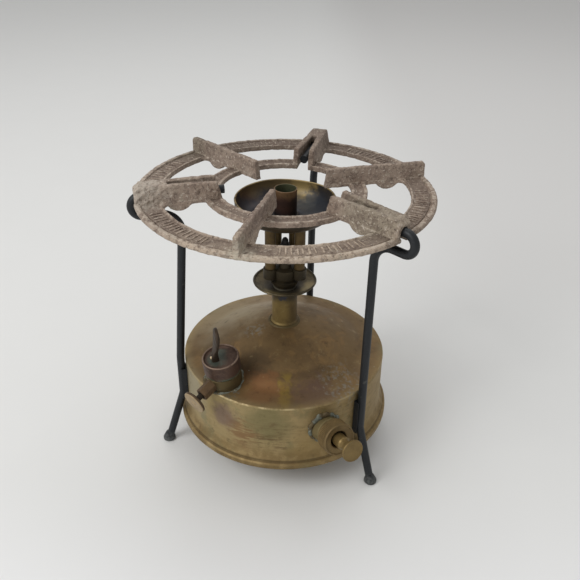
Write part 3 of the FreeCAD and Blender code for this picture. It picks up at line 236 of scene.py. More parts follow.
def add_piece(name, shape, finish, body="stove", nodes=(), slot=None):
    """One visible piece from a mesh or a wrapped grid, with its finish, body and nodes; its slot is not used."""
    mesh = shape if isinstance(shape, bpy.types.Mesh) else fill_mesh(name, [shape])
    mesh.polygons.foreach_set("use_smooth", np.ones(len(mesh.polygons), bool))
    mesh.materials.clear()
    mesh.materials.append(FINISH[finish].material)
    piece = put(name, mesh)
    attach(piece, body)
    if nodes:
        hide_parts(*nodes)


# ---- Finishes ----
def tint(red, green, blue):
    """A colour written as 0 to 255, as the linear colour that a shader takes."""
    parts = [v / 255 for v in (red, green, blue)]
    return tuple(v / 12.92 if v <= 0.04045 else ((v + 0.055) / 1.055) ** 2.4 for v in parts) + (1,)


class Signal:
    """The value of a shader socket, with Python's own arithmetic."""

    def __init__(self, finish, socket):
        self.finish = finish
        self.socket = socket

    def maths(self, operation, other):
        return self.finish.node("ShaderNodeMath", {"operation": operation}, {0: self, 1: other})

    __add__ = __radd__ = partialmethod(maths, "ADD")
    __sub__ = partialmethod(maths, "SUBTRACT")
    __mul__ = __rmul__ = partialmethod(maths, "MULTIPLY")
    __pow__ = partialmethod(maths, "POWER")
    most = partialmethod(maths, "MAXIMUM")

    def step(self, low, high):
        """0 below low, 1 above high and a smooth rise between; falling where low > high."""
        return self.finish.node(
            "ShaderNodeMapRange", {"interpolation_type": "SMOOTHSTEP"},
            {0: self, 1: low, 2: high, 3: 0, 4: 1})


class Finish:
    """One material: a metal or other surface shader and the nodes that feed it."""

    def __init__(self, name):
        self.material = bpy.data.materials.new(name)
        self.material.use_nodes = True
        self.tree = self.material.node_tree
        self.tree.nodes.clear()
        self.shader = self.tree.nodes.new("ShaderNodeBsdfPrincipled")
        out = self.tree.nodes.new("ShaderNodeOutputMaterial")
        self.tree.links.new(self.shader.outputs[0], out.inputs["Surface"])
        self.spot = self.node("ShaderNodeTexCoord", out="Object")
        self.x, self.y, self.z = (
            self.node("ShaderNodeSeparateXYZ", {}, {0: self.spot}, axis) * 1000 for axis in "XYZ")

    def feed(self, item, values):
        """Set a node's sockets to values, or link them to signals."""
        for key, value in values.items():
            if isinstance(value, Signal):
                self.tree.links.new(value.socket, item.inputs[key])
            else:
                item.inputs[key].default_value = value

    def node(self, kind, settings={}, values={}, out=0):
        """Add a node: its settings first, then the values or links of its sockets."""
        item = self.tree.nodes.new(kind)
        for key, value in settings.items():
            setattr(item, key, value)
        self.feed(item, values)
        return Signal(self, item.outputs[out])

    def noise(self, size, detail=3, rough=0.55, twist=0, stretch=None):
        """Cloudy noise from 0 to 1 with spots of a size in mm; stretch scales the axes."""
        spot = self.spot
        if stretch:
            spot = self.node("ShaderNodeMapping", {"vector_type": "POINT"}, {0: spot, 3: stretch})
        return self.node(
            "ShaderNodeTexNoise", {},
            {"Vector": spot, "Scale": 1000 / size, "Detail": detail, "Roughness": rough,
             "Distortion": twist})

    def cells(self, size):
        """Distance to the nearest of scattered points a size in mm apart, in parts of it."""
        return self.node("ShaderNodeTexVoronoi", {}, {"Vector": self.spot, "Scale": 1000 / size}, "Distance")

    def reach(self):
        """Distance in mm from the tank's axis."""
        return (self.x * self.x + self.y * self.y) ** 0.5

    def offsets(self, centre):
        """The distances in mm from a point, along X, Y and Z."""
        return [v - start for v, start in zip((self.x, self.y, self.z), centre)]

    def rise(self, place):
        """The way in mm along a place's third axis from its origin."""
        a, b, c = (v * part for v, part in zip(self.offsets(place[0]), place[1][2]))
        return a + b + c

    def patch(self, centre, size, edge=0.5, ragged=0.6, grain=9):
        """A mask of a blot round a point with a ragged border: 1 inside, 0 outside."""
        a, b, c = self.offsets(centre)
        wander = (self.noise(grain, 4) - 0.5) * (2 * ragged * size)
        return ((a * a + b * b + c * c) ** 0.5 + wander).step(size * (1 + edge), size * (1 - edge))

    def blend(self, share, first, second):
        """Two colours mixed by a share; a colour is a signal or three numbers up to 255."""
        first, second = (c if isinstance(c, Signal) else tint(*c) for c in (first, second))
        return self.node(
            "ShaderNodeMix", {"data_type": "RGBA", "blend_type": "MIX"},
            {0: share, 6: first, 7: second}, 2)

    def bump(self, height, depth, strength=1, **under):
        """A normal tilted by a height from 0 to 1 that stands for a depth in mm."""
        values = {"Height": height, "Distance": depth * MM, "Strength": strength, **under}
        return self.node("ShaderNodeBump", {}, values)

    def wear(self, colour, metallic, roughness, *relief, **under):
        """Feed the surface shader; the relief is a bump's height, depth and strength."""
        normal = {"Normal": self.bump(*relief, **under)} if relief else {}
        self.feed(
            self.shader,
            {"Base Color": colour, "Metallic": metallic, "Roughness": roughness, **normal})
        return self


def layered(finish, colour, *layers):
    """A colour with layers over it in turn.

    A layer is (mask, colour), or (signal, low, high, share, colour) for the mask
    signal.step(low, high) * share.
    """
    for *mask, over in layers:
        if len(mask) > 1:
            mask = [mask[0].step(*mask[1:3]) * mask[3]]
        colour = finish.blend(mask[0], colour, over)
    return colour


def tank_brass():
    """Old brass gone olive and brown: browner on the crown, golden at the foot, with purple,
    green and orange blots, salts by the riser, fine scratches and soft dents.  Painted light
    and shade: the wall lighter on its left with a pale highlight down that side, pale
    reflections on the back of the crown, a dark shaded arc across its front, shade in the
    groove above the foot, and a pale highlight on the rubbed edge."""
    f = Finish("tank_brass")
    clouds, fine = f.noise(30, 5, 0.65), f.noise(8, 6, 0.68)
    mottle = f.noise(13, 6, 0.7, 0.6)
    streaks = f.noise(9, 5, 0.65, stretch=(0.5, 0.5, 3))
    reach = f.reach()
    on_top = f.z.step(83.4, 85.6)
    wall = layered(
        f, (150, 129, 88),
        (streaks, 0.4, 0.66, 0.45, (118, 98, 64)),
        (mottle, 0.5, 0.64, 0.5, (126, 108, 66)),
        # Painted light: the wall is lighter toward the left, above the flare.
        (f.x.step(40, -20) * f.z.step(36, 46) * 0.3, (188, 170, 126)),
        (clouds, 0.52, 0.64, 0.6, (120, 116, 84)),
        # Painted highlight: a pale column down the wall's left side.
        (f.patch((-75, -38, 68), 20, grain=11) * 0.75, (148, 140, 116)),
        (f.patch((-12, -83, 70), 17, grain=11) * 0.6, (106, 102, 66)),
        (f.patch((-52, -66, 72), 12, grain=6) * 0.6, (150, 132, 82)),
        (f.patch((-46, -70, 66), 11, grain=7) * 0.75, (122, 100, 90)),
        (f.patch((-30, -77, 56), 13, grain=7) * streaks.step(0.4, 0.55) * 0.7, (128, 92, 58)),
        (f.patch((-8, -83, 55), 12, ragged=1, grain=6) * streaks.step(0.42, 0.6) * 0.75, (98, 76, 48)),
        (f.patch((20, -82, 44), 15, grain=9) * 0.45, (150, 126, 78)),
        (f.z.step(46, 36) * mottle.step(0.35, 0.55) * 0.55, (112, 90, 54)),
        # Painted shade: a dark line in the groove above the foot.
        (f.z.step(34.6, 34) * f.z.step(32.4, 32.9) * 0.45, (64, 50, 30)))
    ragged_x = f.x + (f.noise(7, 4) - 0.5) * 12
    crown = layered(
        f, (114, 92, 60),
        (clouds, 0.45, 0.66, 0.6, (96, 76, 50)),
        (mottle, 0.5, 0.64, 0.55, (136, 106, 66)),
        # Painted reflections: pale patches on the back of the crown.
        (f.patch((-52, 40, 88), 38, grain=14) * 0.8, (158, 144, 116)),
        (f.patch((-5, 62, 90), 30, grain=14) * 0.6, (158, 140, 114)),
        (f.patch((-24, -44, 95), 15, grain=9) * 0.6, (66, 52, 36)),
        # Painted shade: a dark arc across the front of the crown.
        (reach.step(50, 54.5) * reach.step(60, 56) * f.y.step(-36, -46) * 0.45, (70, 54, 36)),
        (f.patch((-19, -65, 88), 16, ragged=0.9, grain=7) * 0.68, (130, 88, 52)),
        (f.patch((-36, -62, 88), 10, ragged=0.9, grain=7) * 0.5, (128, 104, 62)),
        (ragged_x.step(-5, -2) * ragged_x.step(8, 4) * f.y.step(-50, -57) * mottle.step(0.3, 0.5) * 0.75,
         (138, 114, 50)),
        (f.patch((26, -70, 86), 17, ragged=0.9, grain=6) * 0.75, (96, 74, 64)),
        (f.patch((-59, 4, 90), 22, grain=10) * 0.4, (112, 96, 74)),
        (reach, 66, 72, 0.3, (116, 94, 64)))
    # The rubbed edge: a pale line round the tank's edge, strongest at the front; partly rubbed, smoother metal and
    # partly a painted highlight.
    edge_gap = ((reach - 83.7) ** 2 + (f.z - 83.9) ** 2) ** 0.5
    front = f.x.step(-66, -56) * f.x.step(20, -14) * 0.7 + 0.3
    rubbed = edge_gap.step(1, 0.3) * f.noise(14, 4).step(0.42, 0.6) * front
    salts = f.patch((47, -55, 86), 17, ragged=0.8, grain=4) * f.noise(3.4, 4).step(0.48, 0.62)
    salts = salts.most(f.patch((-25, -10, 107), 8, grain=4) * f.noise(3, 4).step(0.48, 0.6))
    seam = f.patch((-46, -66, 84), 10, ragged=0.9, grain=4) * f.noise(3, 4).step(0.48, 0.6)
    specks = f.cells(7).step(0.11, 0.07) * f.noise(26).step(0.56, 0.62) * on_top
    colour = layered(
        f, f.blend(on_top, wall, crown),
        (fine, 0.54, 0.74, 0.55, (74, 58, 38)),
        (fine, 0.42, 0.28, 0.3, (164, 144, 100)),
        # Pale edge line: painted highlight over the rubbed metal.
        (rubbed * 0.9, (212, 192, 148)),
        (salts * 0.5, (128, 130, 122)),
        (seam * on_top * 0.7, (112, 118, 112)),
        (specks * 0.7, (176, 176, 160)))
    scratches = f.noise(1.6, 4, 0.7, stretch=(1, 1, 0.12))
    rough = 0.36 + 0.26 * fine + 0.16 * mottle - 0.12 * rubbed
    dull = f.bump(fine, 0.07, 0.8)
    return f.wear(colour, 0.62, rough, scratches, 0.02, 0.5, Normal=dull)


def old_brass(name, base, dark, light, metallic=0.62, rough=0.42, blots=12, verdigris=0, dirt=0.5):
    """Brass of one overall tone with darker clouds, lighter rubbed spots and a little grime."""
    f = Finish(name)
    clouds, fine = f.noise(blots, 5, 0.6), f.noise(3.2, 5, 0.65)
    colour = layered(f, base, (clouds, 0.42, 0.68, dirt, dark), (fine, 0.56, 0.78, 0.5, light))
    if verdigris:
        colour = layered(f, colour, (f.noise(5, 5, 0.7), 0.62, 0.74, verdigris, (120, 134, 112)))
    return f.wear(colour, metallic, rough + 0.2 * clouds + 0.1 * fine, fine, 0.04, 0.6)


def riser_brass():
    """Golden brown pipe, with painted shade on its right side and the cup's shadow painted dark at its top, under
    the cup.
    """
    f = Finish("riser_brass")
    clouds, fine = f.noise(9, 5, 0.6), f.noise(2.4, 5, 0.65)
    # The mask named soot is the cup's shadow, painted dark on the top of the pipe.
    soot = (f.z + (clouds - 0.5) * 6).step(129, 137)
    colour = layered(
        f, (126, 106, 62),
        (clouds, 0.45, 0.7, 0.6, (96, 78, 46)),
        (fine, 0.5, 0.7, 0.4, (150, 132, 84)),
        # Painted shade: darker on the pipe's right side.
        (f.x, 0.5, 7, 0.55, (66, 52, 36)),
        (soot * 0.75, (48, 43, 33)),
        (f.patch((-1, -10, 137.5), 3.2, 0.25, 1.3, 3) * 0.85, (52, 56, 66)))
    return f.wear(colour, 0.6, 0.42 + 0.2 * fine, fine, 0.05, 0.6)


def bowl_brass():
    """Inside: soot and blue heat colours on the floor, browner and golden up the sides.
    Outside: dark olive brown with a rubbed rim."""
    f = Finish("bowl_brass")
    reach = f.reach()
    clouds, fine = f.noise(11, 5, 0.6), f.noise(2.6, 5, 0.65)
    sides = (f.z + (clouds - 0.5) * 10).step(208, 217)
    inner = layered(
        f, (40, 40, 46),
        (clouds, 0.42, 0.62, 0.7, (66, 61, 58)),
        (fine, 0.5, 0.72, 0.5, (26, 25, 28)),
        (sides * 0.9, (120, 102, 68)),
        (f.patch((-31, 12, 216), 15, grain=8) * 0.7, (88, 62, 42)),
        (f.patch((16, 33, 217), 13, 0.5, 0.7, 8) * 0.75, (156, 134, 84)),
        (f.patch((-24, 4, 208), 16, 0.4, 0.9, 8) * 0.85, (34, 35, 44)),
        (f.patch((24, 16, 210), 16, 0.3, 0.9, 7) * 0.85, (26, 32, 42)),
        (f.patch((14, 20, 206), 8, 0.5, 0.9, 5) * 0.35, (92, 94, 92)),
        (f.patch((-22, -22, 209), 14, grain=8) * 0.85, (24, 24, 31)))
    outer = layered(
        f, (54, 44, 28),
        (clouds, 0.42, 0.66, 0.7, (34, 28, 20)),
        (f.z, 214, 219, 0.4, (86, 70, 42)))
    depth = ((reach - 25.1) ** 2 + (f.z - 217.2) ** 2) ** 0.5
    outside = (depth.step(12.85, 13.15) * reach.step(25, 26)).most(f.z.step(204.9, 204.4))
    rim = f.z.step(218.8, 219.4) * f.noise(8, 3).step(0.3, 0.55)
    colour = f.blend(rim * 0.8, f.blend(outside, inner, outer), (160, 138, 92))
    return f.wear(colour, 0.35, 0.3 + 0.25 * clouds + 0.08 * fine, fine, 0.06, 0.6)


def cup_bronze():
    """The priming cup: olive brown brass, sooty round the burner, with a darker rim, painted highlight spots and
    painted shade low down.
    """
    f = Finish("cup_bronze")
    clouds, fine = f.noise(7, 5, 0.65), f.noise(2.2, 5, 0.65)
    reach = f.reach()
    gleam = f.patch((-8, -17, 145), 9, grain=4).most(f.patch((17, -5, 145), 7, grain=4))
    soot = (reach + (clouds - 0.5) * 9).step(19, 13.5)
    rim = reach.step(23.6, 24.6) * f.noise(7, 3).step(0.8, 0.4)
    colour = layered(
        f, (112, 100, 74),
        (clouds, 0.42, 0.62, 0.7, (74, 66, 50)),
        (gleam * 0.8, (172, 154, 112)),
        (soot * 0.75, (48, 44, 40)),
        # Painted shade: darker below about 144 mm, for the cup's shaded underside; it also darkens the low middle
        # of the inside.
        (f.z, 144.5, 142.8, 0.5, (40, 34, 26)),
        (fine, 0.55, 0.75, 0.4, (124, 110, 78)),
        (rim * 0.75, (46, 41, 30)))
    return f.wear(colour, 0.6, 0.32 + 0.24 * clouds, fine, 0.06, 0.7)


def cap_brass():
    """The filler's cap: purple brown copper tones, a thin pale rim that is a painted highlight, and teal salts
    inside.
    """
    f = Finish("cap_brass")
    clouds, fine = f.noise(8, 5, 0.65), f.noise(2.6, 5, 0.65)
    (a, b, c), rise = f.offsets(FILLER[0]), f.rise(FILLER)
    across = (a * a + b * b + c * c - rise * rise).most(0) ** 0.5
    # The pale rim line is a painted highlight along the cap's top edge.
    rim = across.step(12.6, 13.2) * rise.step(25.2, 25.6) * clouds.step(0.3, 0.5)
    colour = layered(
        f, (86, 66, 55),
        (clouds, 0.42, 0.64, 0.7, (64, 48, 40)),
        (fine, 0.52, 0.72, 0.5, (112, 91, 76)),
        (rise.step(15.5, 12.6) * clouds.step(0.4, 0.55) * 0.8, (88, 102, 84)),
        (across.step(12, 8) * rise.step(22, 23) * a.step(5, -3) * clouds.step(0.34, 0.52) * 0.75,
         (84, 96, 86)),
        (rim * 0.7, (150, 128, 110)))
    return f.wear(colour, 0.6, 0.42 + 0.2 * clouds, fine, 0.06, 0.7)


def disc_brass():
    """The air screw's disc: pale tan on its face, dark on its edge and back."""
    f = Finish("disc_brass")
    clouds, fine = f.noise(7, 5, 0.6), f.noise(2.4, 5, 0.65)
    colour = layered(
        f, (164, 143, 110),
        (clouds, 0.42, 0.66, 0.5, (130, 110, 82)),
        (fine, 0.55, 0.75, 0.5, (188, 168, 134)),
        (f.rise(AIR).step(33.5, 33) * 0.9, (72, 55, 38)))
    return f.wear(colour, 0.55, 0.42 + 0.2 * fine, fine, 0.05, 0.7)


def tube_bronze():
    """The mixing tube: coppery brown at its mouth, burnt black lower down, with painted shade on its right side.
    """
    f = Finish("tube_bronze")
    clouds, fine = f.noise(7, 5, 0.6), f.noise(2, 5, 0.65)
    height = f.z + (clouds - 0.5) * 8
    colour = layered(
        f, (36, 32, 32),
        (height, 207, 214, 0.7, (84, 58, 46)),
        (height.step(214, 218) * height.step(222, 219) * 0.6, (62, 46, 40)),
        (height, 220, 225, 0.8, (120, 92, 62)),
        # Painted shade: darker on the tube's right side, below its mouth.
        (f.x.step(2, 7) * height.step(224, 220) * 0.6, (34, 29, 27)),
        (f.reach().step(8.3, 8) * 0.8, (72, 84, 62)),
        (fine, 0.52, 0.75, 0.4, (40, 32, 26)))
    return f.wear(colour, 0.55, 0.42 + 0.2 * fine, fine, 0.06, 0.7)


def black_steel():
    """Blued wire: near black, with rubbed grey in places and a little dust near the feet."""
    f = Finish("black_steel")
    clouds, fine = f.noise(14, 5, 0.6), f.noise(2.2, 5, 0.65)
    colour = layered(
        f, (28, 31, 34),
        (clouds, 0.45, 0.7, 0.6, (20, 22, 25)),
        (fine, 0.56, 0.74, 0.5, (58, 62, 64)),
        (f.noise(5, 4).step(0.64, 0.72) * 0.4, (92, 90, 84)),
        (f.z.step(11, 2) * fine.step(0.3, 0.6) * 0.7, (100, 102, 100)))
    return f.wear(colour, 0.3, 0.4 + 0.2 * fine, fine, 0.1, 0.8)


def cast_iron():
    """Sand-cast iron under dried lime and dust: taupe, pitted, with rusty and grey-green blots
    and a pale crust on the left socket.  Painted light and shade: shade in the channel and
    the inner groove, a highlight on the tops of the lips and ribs, lighter toward the front
    and the left, darker toward the back."""
    f = Finish("cast_iron")
    clouds, fine = f.noise(22, 5, 0.6), f.noise(2, 6, 0.7)
    grain, blots = f.noise(4.5, 6, 0.7), f.noise(11, 5, 0.65)
    pits = f.cells(1.5)
    reach = f.reach()
    channel = reach.step(94.4, 95.6) * reach.step(107.6, 106.6)
    inner = reach.step(51.4, 52.4) * reach.step(59.4, 58.4)
    # Painted shade: the channel's floor and the inner ring's groove are darkened.
    floor = channel.most(inner) * f.z.step(227.35, 226.9) * f.z.step(226, 226.3)
    # The mask named high is a painted highlight on the tops of the lips and ribs.
    high = f.z.step(227.4, 227.7) * f.z.step(228.6, 228.1)
    green = f.patch((62, -62, 236), 24, grain=7).most(f.patch((-86, 78, 236), 20, grain=7))
    side = f.patch((-22, -78, 232), 34, grain=9) * f.z.step(229, 231)
    colour = layered(
        f, (146, 128, 113),
        (clouds, 0.42, 0.62, 0.7, (164, 148, 133)),
        # Painted light and shade: darker toward the back, lighter toward the front and the left.
        (f.y, 15, 95, 0.6, (100, 88, 78)),
        (f.y, -62, -105, 0.55, (206, 188, 166)),
        (f.x, -60, -105, 0.3, (186, 172, 158)),
        (blots, 0.5, 0.66, 0.6, (118, 99, 87)),
        (blots, 0.42, 0.3, 0.45, (144, 138, 122)),
        (green * 0.45, (130, 124, 105)),
        (side * 0.4, (98, 80, 72)),
        (grain, 0.5, 0.6, 0.6, (98, 82, 71)),
        (grain, 0.42, 0.34, 0.4, (172, 158, 142)),
        # painted shade in the channel and the inner groove
        (floor * 0.55, (88, 72, 61)),
        # painted highlight on the tops of the lips and ribs
        (high * grain.step(0.55, 0.42) * 0.5, (194, 182, 166)),
        (fine, 0.55, 0.68, 0.75, (208, 197, 182)),
        (fine, 0.42, 0.33, 0.8, (66, 54, 46)),
        (f.patch((-103, -26, 232), 17, grain=5) * fine.step(0.3, 0.6) * 0.7, (190, 181, 168)),
        (f.patch((-27, -105, 229), 9, grain=4) * fine.step(0.35, 0.6) * 0.7, (184, 177, 160)))
    height = 0.55 * grain + 0.45 * fine - 0.3 * pits.step(0.45, 0.1)
    return f.wear(colour, 0.1, 0.72 + 0.2 * fine, height, 1.2, 1)


def solder_grey():
    """Old solder: brown like the brass beside it, with patches of blue-green and white salts."""
    f = Finish("solder_grey")
    fine, clouds = f.noise(2, 6, 0.7), f.noise(6, 4, 0.6)
    salts = f.noise(8, 4, 0.6, 0.5).step(0.46, 0.56)
    colour = layered(
        f, (84, 70, 46),
        (clouds, 0.45, 0.62, 0.6, (104, 92, 62)),
        (salts * 0.85, (104, 110, 100)),
        (salts * fine.step(0.5, 0.66) * 0.7, (158, 162, 150)),
        (fine, 0.42, 0.3, 0.6, (52, 46, 36)))
    return f.wear(colour, 0.35, 0.55 + 0.2 * fine, fine, 0.25, 0.9)


def soft_stuff(name, base, dark, rough=0.75):
    """Leather or rubber: matt, with a fine grain."""
    f = Finish(name)
    fine = f.noise(1.2, 5, 0.6)
    colour = f.blend(fine.step(0.4, 0.65), base, dark)
    return f.wear(colour, 0, rough, fine, 0.1, 0.8)


FINISH = {
    "tank": tank_brass(), "riser": riser_brass(), "bowl": bowl_brass(), "cup": cup_bronze(),
    "mixing": tube_bronze(), "steel": black_steel(), "iron": cast_iron(), "solder": solder_grey(),
    "cap": cap_brass(), "disc": disc_brass(),
    "leather": soft_stuff("cup_leather", (104, 70, 44), (66, 42, 28)),
    "rubber": soft_stuff("seal_rubber", (58, 66, 54), (38, 44, 38), 0.6),
}
# Overall tone, clouds, rubbed spots, and what else differs from old brass.
TONES = {
    "casting": ((62, 54, 38), (34, 30, 24), (104, 86, 52), {"verdigris": 0.25}),
    "tubes": ((92, 74, 42), (56, 44, 28), (116, 92, 52), {}),
    "jet": ((30, 28, 26), (18, 17, 17), (52, 46, 38), {}),
    "boss": ((92, 78, 48), (62, 52, 34), (120, 102, 62), {"verdigris": 0.45}),
    "bush": ((104, 82, 58), (66, 52, 38), (140, 116, 84), {"blots": 5}),
    "wing": ((66, 53, 40), (40, 33, 26), (112, 92, 68), {}),
    # Painted glint: the rivet's near-white tone is partly bright metal and partly the spot of light on its head.
    "rivet": ((226, 208, 172), (180, 156, 120), (240, 226, 196), {"rough": 0.3}),
    "stem": ((54, 44, 33), (34, 29, 23), (84, 70, 50), {}),
    "bright": ((168, 148, 102), (128, 108, 70), (196, 178, 134), {"rough": 0.3, "dirt": 0.4}),
    "knob": ((126, 105, 64), (98, 80, 48), (162, 140, 92), {"rough": 0.32}),
    "pump": ((122, 102, 66), (88, 72, 48), (158, 136, 90), {"verdigris": 0.15}),
    "pump_boss": ((126, 112, 76), (96, 84, 58), (156, 142, 104), {"verdigris": 0.6}),
    "lead": ((110, 106, 92), (70, 66, 56), (140, 136, 120), {"metallic": 0.4}),
    "plain": ((150, 150, 148), (110, 108, 104), (176, 176, 174), {"rough": 0.35}),
}
for tone_name, (*tones, extra) in TONES.items():
    FINISH[tone_name] = old_brass(tone_name, *tones, **extra)

NODE_FINISH = {
    "tank": "tank_shell tank_bottom", "riser": "riser", "cup": "spirit_cup", "lead": "burner_washer",
    "tubes": "pickup_tube up_tube_left up_tube_right return_tube_left return_tube_right valve_body valve_pip",
    "casting": "burner_base burner_head", "jet": "jet", "bowl": "burner_bowl", "mixing": "mixing_tube",
    "iron": "pot_ring", "steel": "leg_back leg_left leg_right leg_clip_back leg_clip_left leg_clip_right",
    "boss": "filler_boss", "rubber": "filler_seal pip_seal", "cap": "filler_cap", "wing": "cap_wing",
    "rivet": "wing_rivet", "stem": "air_screw_stem", "bright": "air_screw_head pump_rod piston_plate",
    "pump_boss": "pump_boss", "pump": "pump_barrel pump_cap", "leather": "pump_cap_washer pump_leather",
    "knob": "pump_knob", "plain": "piston_nut valve_spring",
}
for finish_name, names in NODE_FINISH.items():
    for name in names.split():
        NODES[name].data.materials.clear()
        NODES[name].data.materials.append(FINISH[finish_name].material)


# ---- Tank ----
def tank_outline(inset):
    """The tank's surface from the foot to the crown, as points (across, up), moved inward."""
    flare = bowed((86.9 - inset, 34.8), (85.1 - inset, 38), (83.9 - inset, 43), 16)
    crown = bowed((66, 86.8 - inset), (40, 100.6 - inset), (14, 110 - inset), 40)
    crown = crown[crown[:, 0] < 61]
    low = rounded([
        (89.6 - inset, 28), (89.6 - inset, 31.4, 1.2), (88.3 - inset, 32.6, 0.8), (87.2 - inset, 32.9, 0.4),
        (87 - inset, 33.7, 0.5), (86.9 - inset, 34.8)], 0.5, closed=False)
    high = rounded([
        (83.9 - inset, 43), (83.9 - inset, 71.7, 30), (84 - inset, 83.1, 0.7),
        (83.3 - inset, 84.4 - inset, 0.5), (66, 86.8 - inset, 16), crown[0]], 1.2, closed=False)
    return np.concatenate([low, flare[1:-1], high, crown[1:]])


def pierced(mesh, place, radius, deep=20):
    """A round hole through both skins of a wall, along a place's third axis, with its rims joined.

    Every face goes whose centre lies less than radius from the axis and deep from the origin.
    """
    centres = np.zeros(len(mesh.polygons) * 3, np.float32)
    mesh.polygons.foreach_get("center", centres)
    offset = centres.reshape(-1, 3) / MM - place[0]
    along = offset @ place[1][2]
    across = norm(offset - along[:, None] * place[1][2], axis=1)
    with opened(mesh) as work:
        work.faces.ensure_lookup_table()
        gone = {work.faces[i] for i in np.flatnonzero((across < radius) & (np.abs(along) < deep))}
        rims = {edge for face in gone for edge in face.edges if not gone.issuperset(edge.link_faces)}
        bmesh.ops.delete(work, geom=list(gone), context="FACES")
        bmesh.ops.bridge_loops(work, edges=[edge for edge in rims if edge.is_valid])
    return mesh


def tank():
    """The drawn shell, with the soft dents that old thin brass has and the pump's hole."""
    grid = lathe(np.vstack([tank_outline(0), [[6, 110], [6, 108.8]], tank_outline(1.2)[::-1]]), 288)
    away = grid * [1, 1, 0]
    away /= norm(away, axis=-1)[..., None]
    wall = np.clip((85 - grid[..., 2]) / 4, 0, 1) * np.clip((grid[..., 2] - 33) / 8, 0, 1)
    grid = grid + away * (0.16 * ripple(away * 83 + grid * [0, 0, 1], 46, 3) * wall)[..., None]
    hump = np.clip((norm(grid[..., :2], axis=-1) - 16) / 10, 0, 1) * (1 - wall)
    hump *= np.clip((80 - norm(grid[..., :2], axis=-1)) / 6, 0, 1)
    grid[..., 2] += 0.16 * ripple(grid * [1, 1, 0], 52, 5) * hump
    mesh = pierced(fill_mesh("tank_drawn", [grid]), PUMP, 9.9)
    add_piece("tank_drawn", mesh, "tank", "stove", ["tank_shell"], "brass_tank")


def loop(name, corners, finish, place=None, turns=96, step=0.8, wobble=0, **facts):
    """A closed profile of rounded corners turned about its place's axis."""
    grid = lathe(rounded(corners, step), turns)
    if wobble:
        away = grid * [1, 1, 0]
        away /= np.maximum(norm(away, axis=-1), 0.1)[..., None]
        grid = grid + away * (wobble * ripple(grid, 30, 11))[..., None]
    add_piece(name, placed(grid, place) if place else grid, finish, **facts)


tank()


# ---- Riser, cup, bowl and mixing tube ----
loop("riser_pipe", [
    (4.05, 106), (5.9, 106), (5.9, 110), (11.6, 110, 0.3), (11.6, 111, 0.5), (10.35, 111.9, 1.2),
    (10.35, 142, 0.3), (6.5, 142), (6.5, 131), (4.05, 131)],
    "riser", nodes=["riser"], slot="brass_tank")


def priming_cup():
    """The dish: arcs for its underside, rim and inside, turned and then waved a little."""
    under = bowed((10.6, 142), (19.5, 144.8), (24.9, 147.2), 18)
    rim = bowed((25.1, 147.6), (25.3, 149), (24.1, 148.3), 12)
    inside = bowed((23.9, 147.4), (19.2, 145.7), (10.2, 143), 18)
    grid = lathe(np.vstack([[[6.55, 142]], under, rim, inside, [[6.55, 143]]]), 144)
    far = np.clip((norm(grid[..., :2], axis=-1) - 12) / 13, 0, 1)
    grid[..., 2] += 0.25 * far * ripple(grid * [1, 1, 0], 40, 21)
    add_piece("priming_cup", grid, "cup", nodes=["spirit_cup"], slot="brass_dark")


def flame_bowl():
    """The bowl: a flat middle and arcs, turned, then dented by up to 0.4 mm toward its rim."""
    under = bowed((28, 204), (36, 209.2), (38.6, 218.2), 24)
    rim = bowed((38.75, 218.5), (38.2, 219.6), (37.5, 219), 10)
    inside = bowed((37.5, 218.4), (35.2, 209.9), (27.6, 205), 24)
    grid = lathe(np.vstack([[[6.95, 204], [17, 204]], under, rim, inside, [[17, 205], [6.95, 205]]]))
    far = np.clip((grid[..., 2] - 206) / 13, 0, 1)
    dents = ripple(grid * [1, 1, 0.6], 44, 31)
    grid[..., 2] -= 0.25 * far * (0.6 + dents)
    grid[..., :2] *= (1 - 0.004 * far * (0.5 + dents))[..., None]
    add_piece("flame_bowl", grid, "bowl", nodes=["burner_bowl"], slot="brass_dark")


priming_cup()
flame_bowl()
loop("mixing_pipe", [
    (6.1, 200), (6.9, 200), (6.9, 205), (10.2, 205, 0.3), (10.2, 206.6, 0.5), (8.7, 206.8, 0.6),
    (8.7, 227.4, 0.35), (7.9, 227.4, 0.35), (7.9, 205.8), (6.1, 205)],
    "mixing", wobble=0.05, nodes=["mixing_tube"], slot="brass_dark")
loop("jet_nipple", [
    (0.5, 174.2), (3.4, 174.2), (3.7, 175.4, 0.4), (3.7, 180.4, 1.6), (2.7, 182.3, 0.8), (2.6, 184.2, 0.8),
    (1.5, 186.1, 0.8), (0.5, 186.1)],
    "jet", wobble=0.1, nodes=["jet"], slot="brass_dark")


# ---- Filler: cap, wing, air screw and the solder round its boss ----
WALL_REACH, BEAD_INSET, BEAD_SPOTS = 83.95, 0.9, 120


def tank_height(reach):
    """The height of the band and crown over a reach."""
    outline = tank_outline(0)[::-1]
    outline = outline[outline[:, 1] > 84.3]
    return np.interp(reach, outline[:, 0], outline[:, 1])


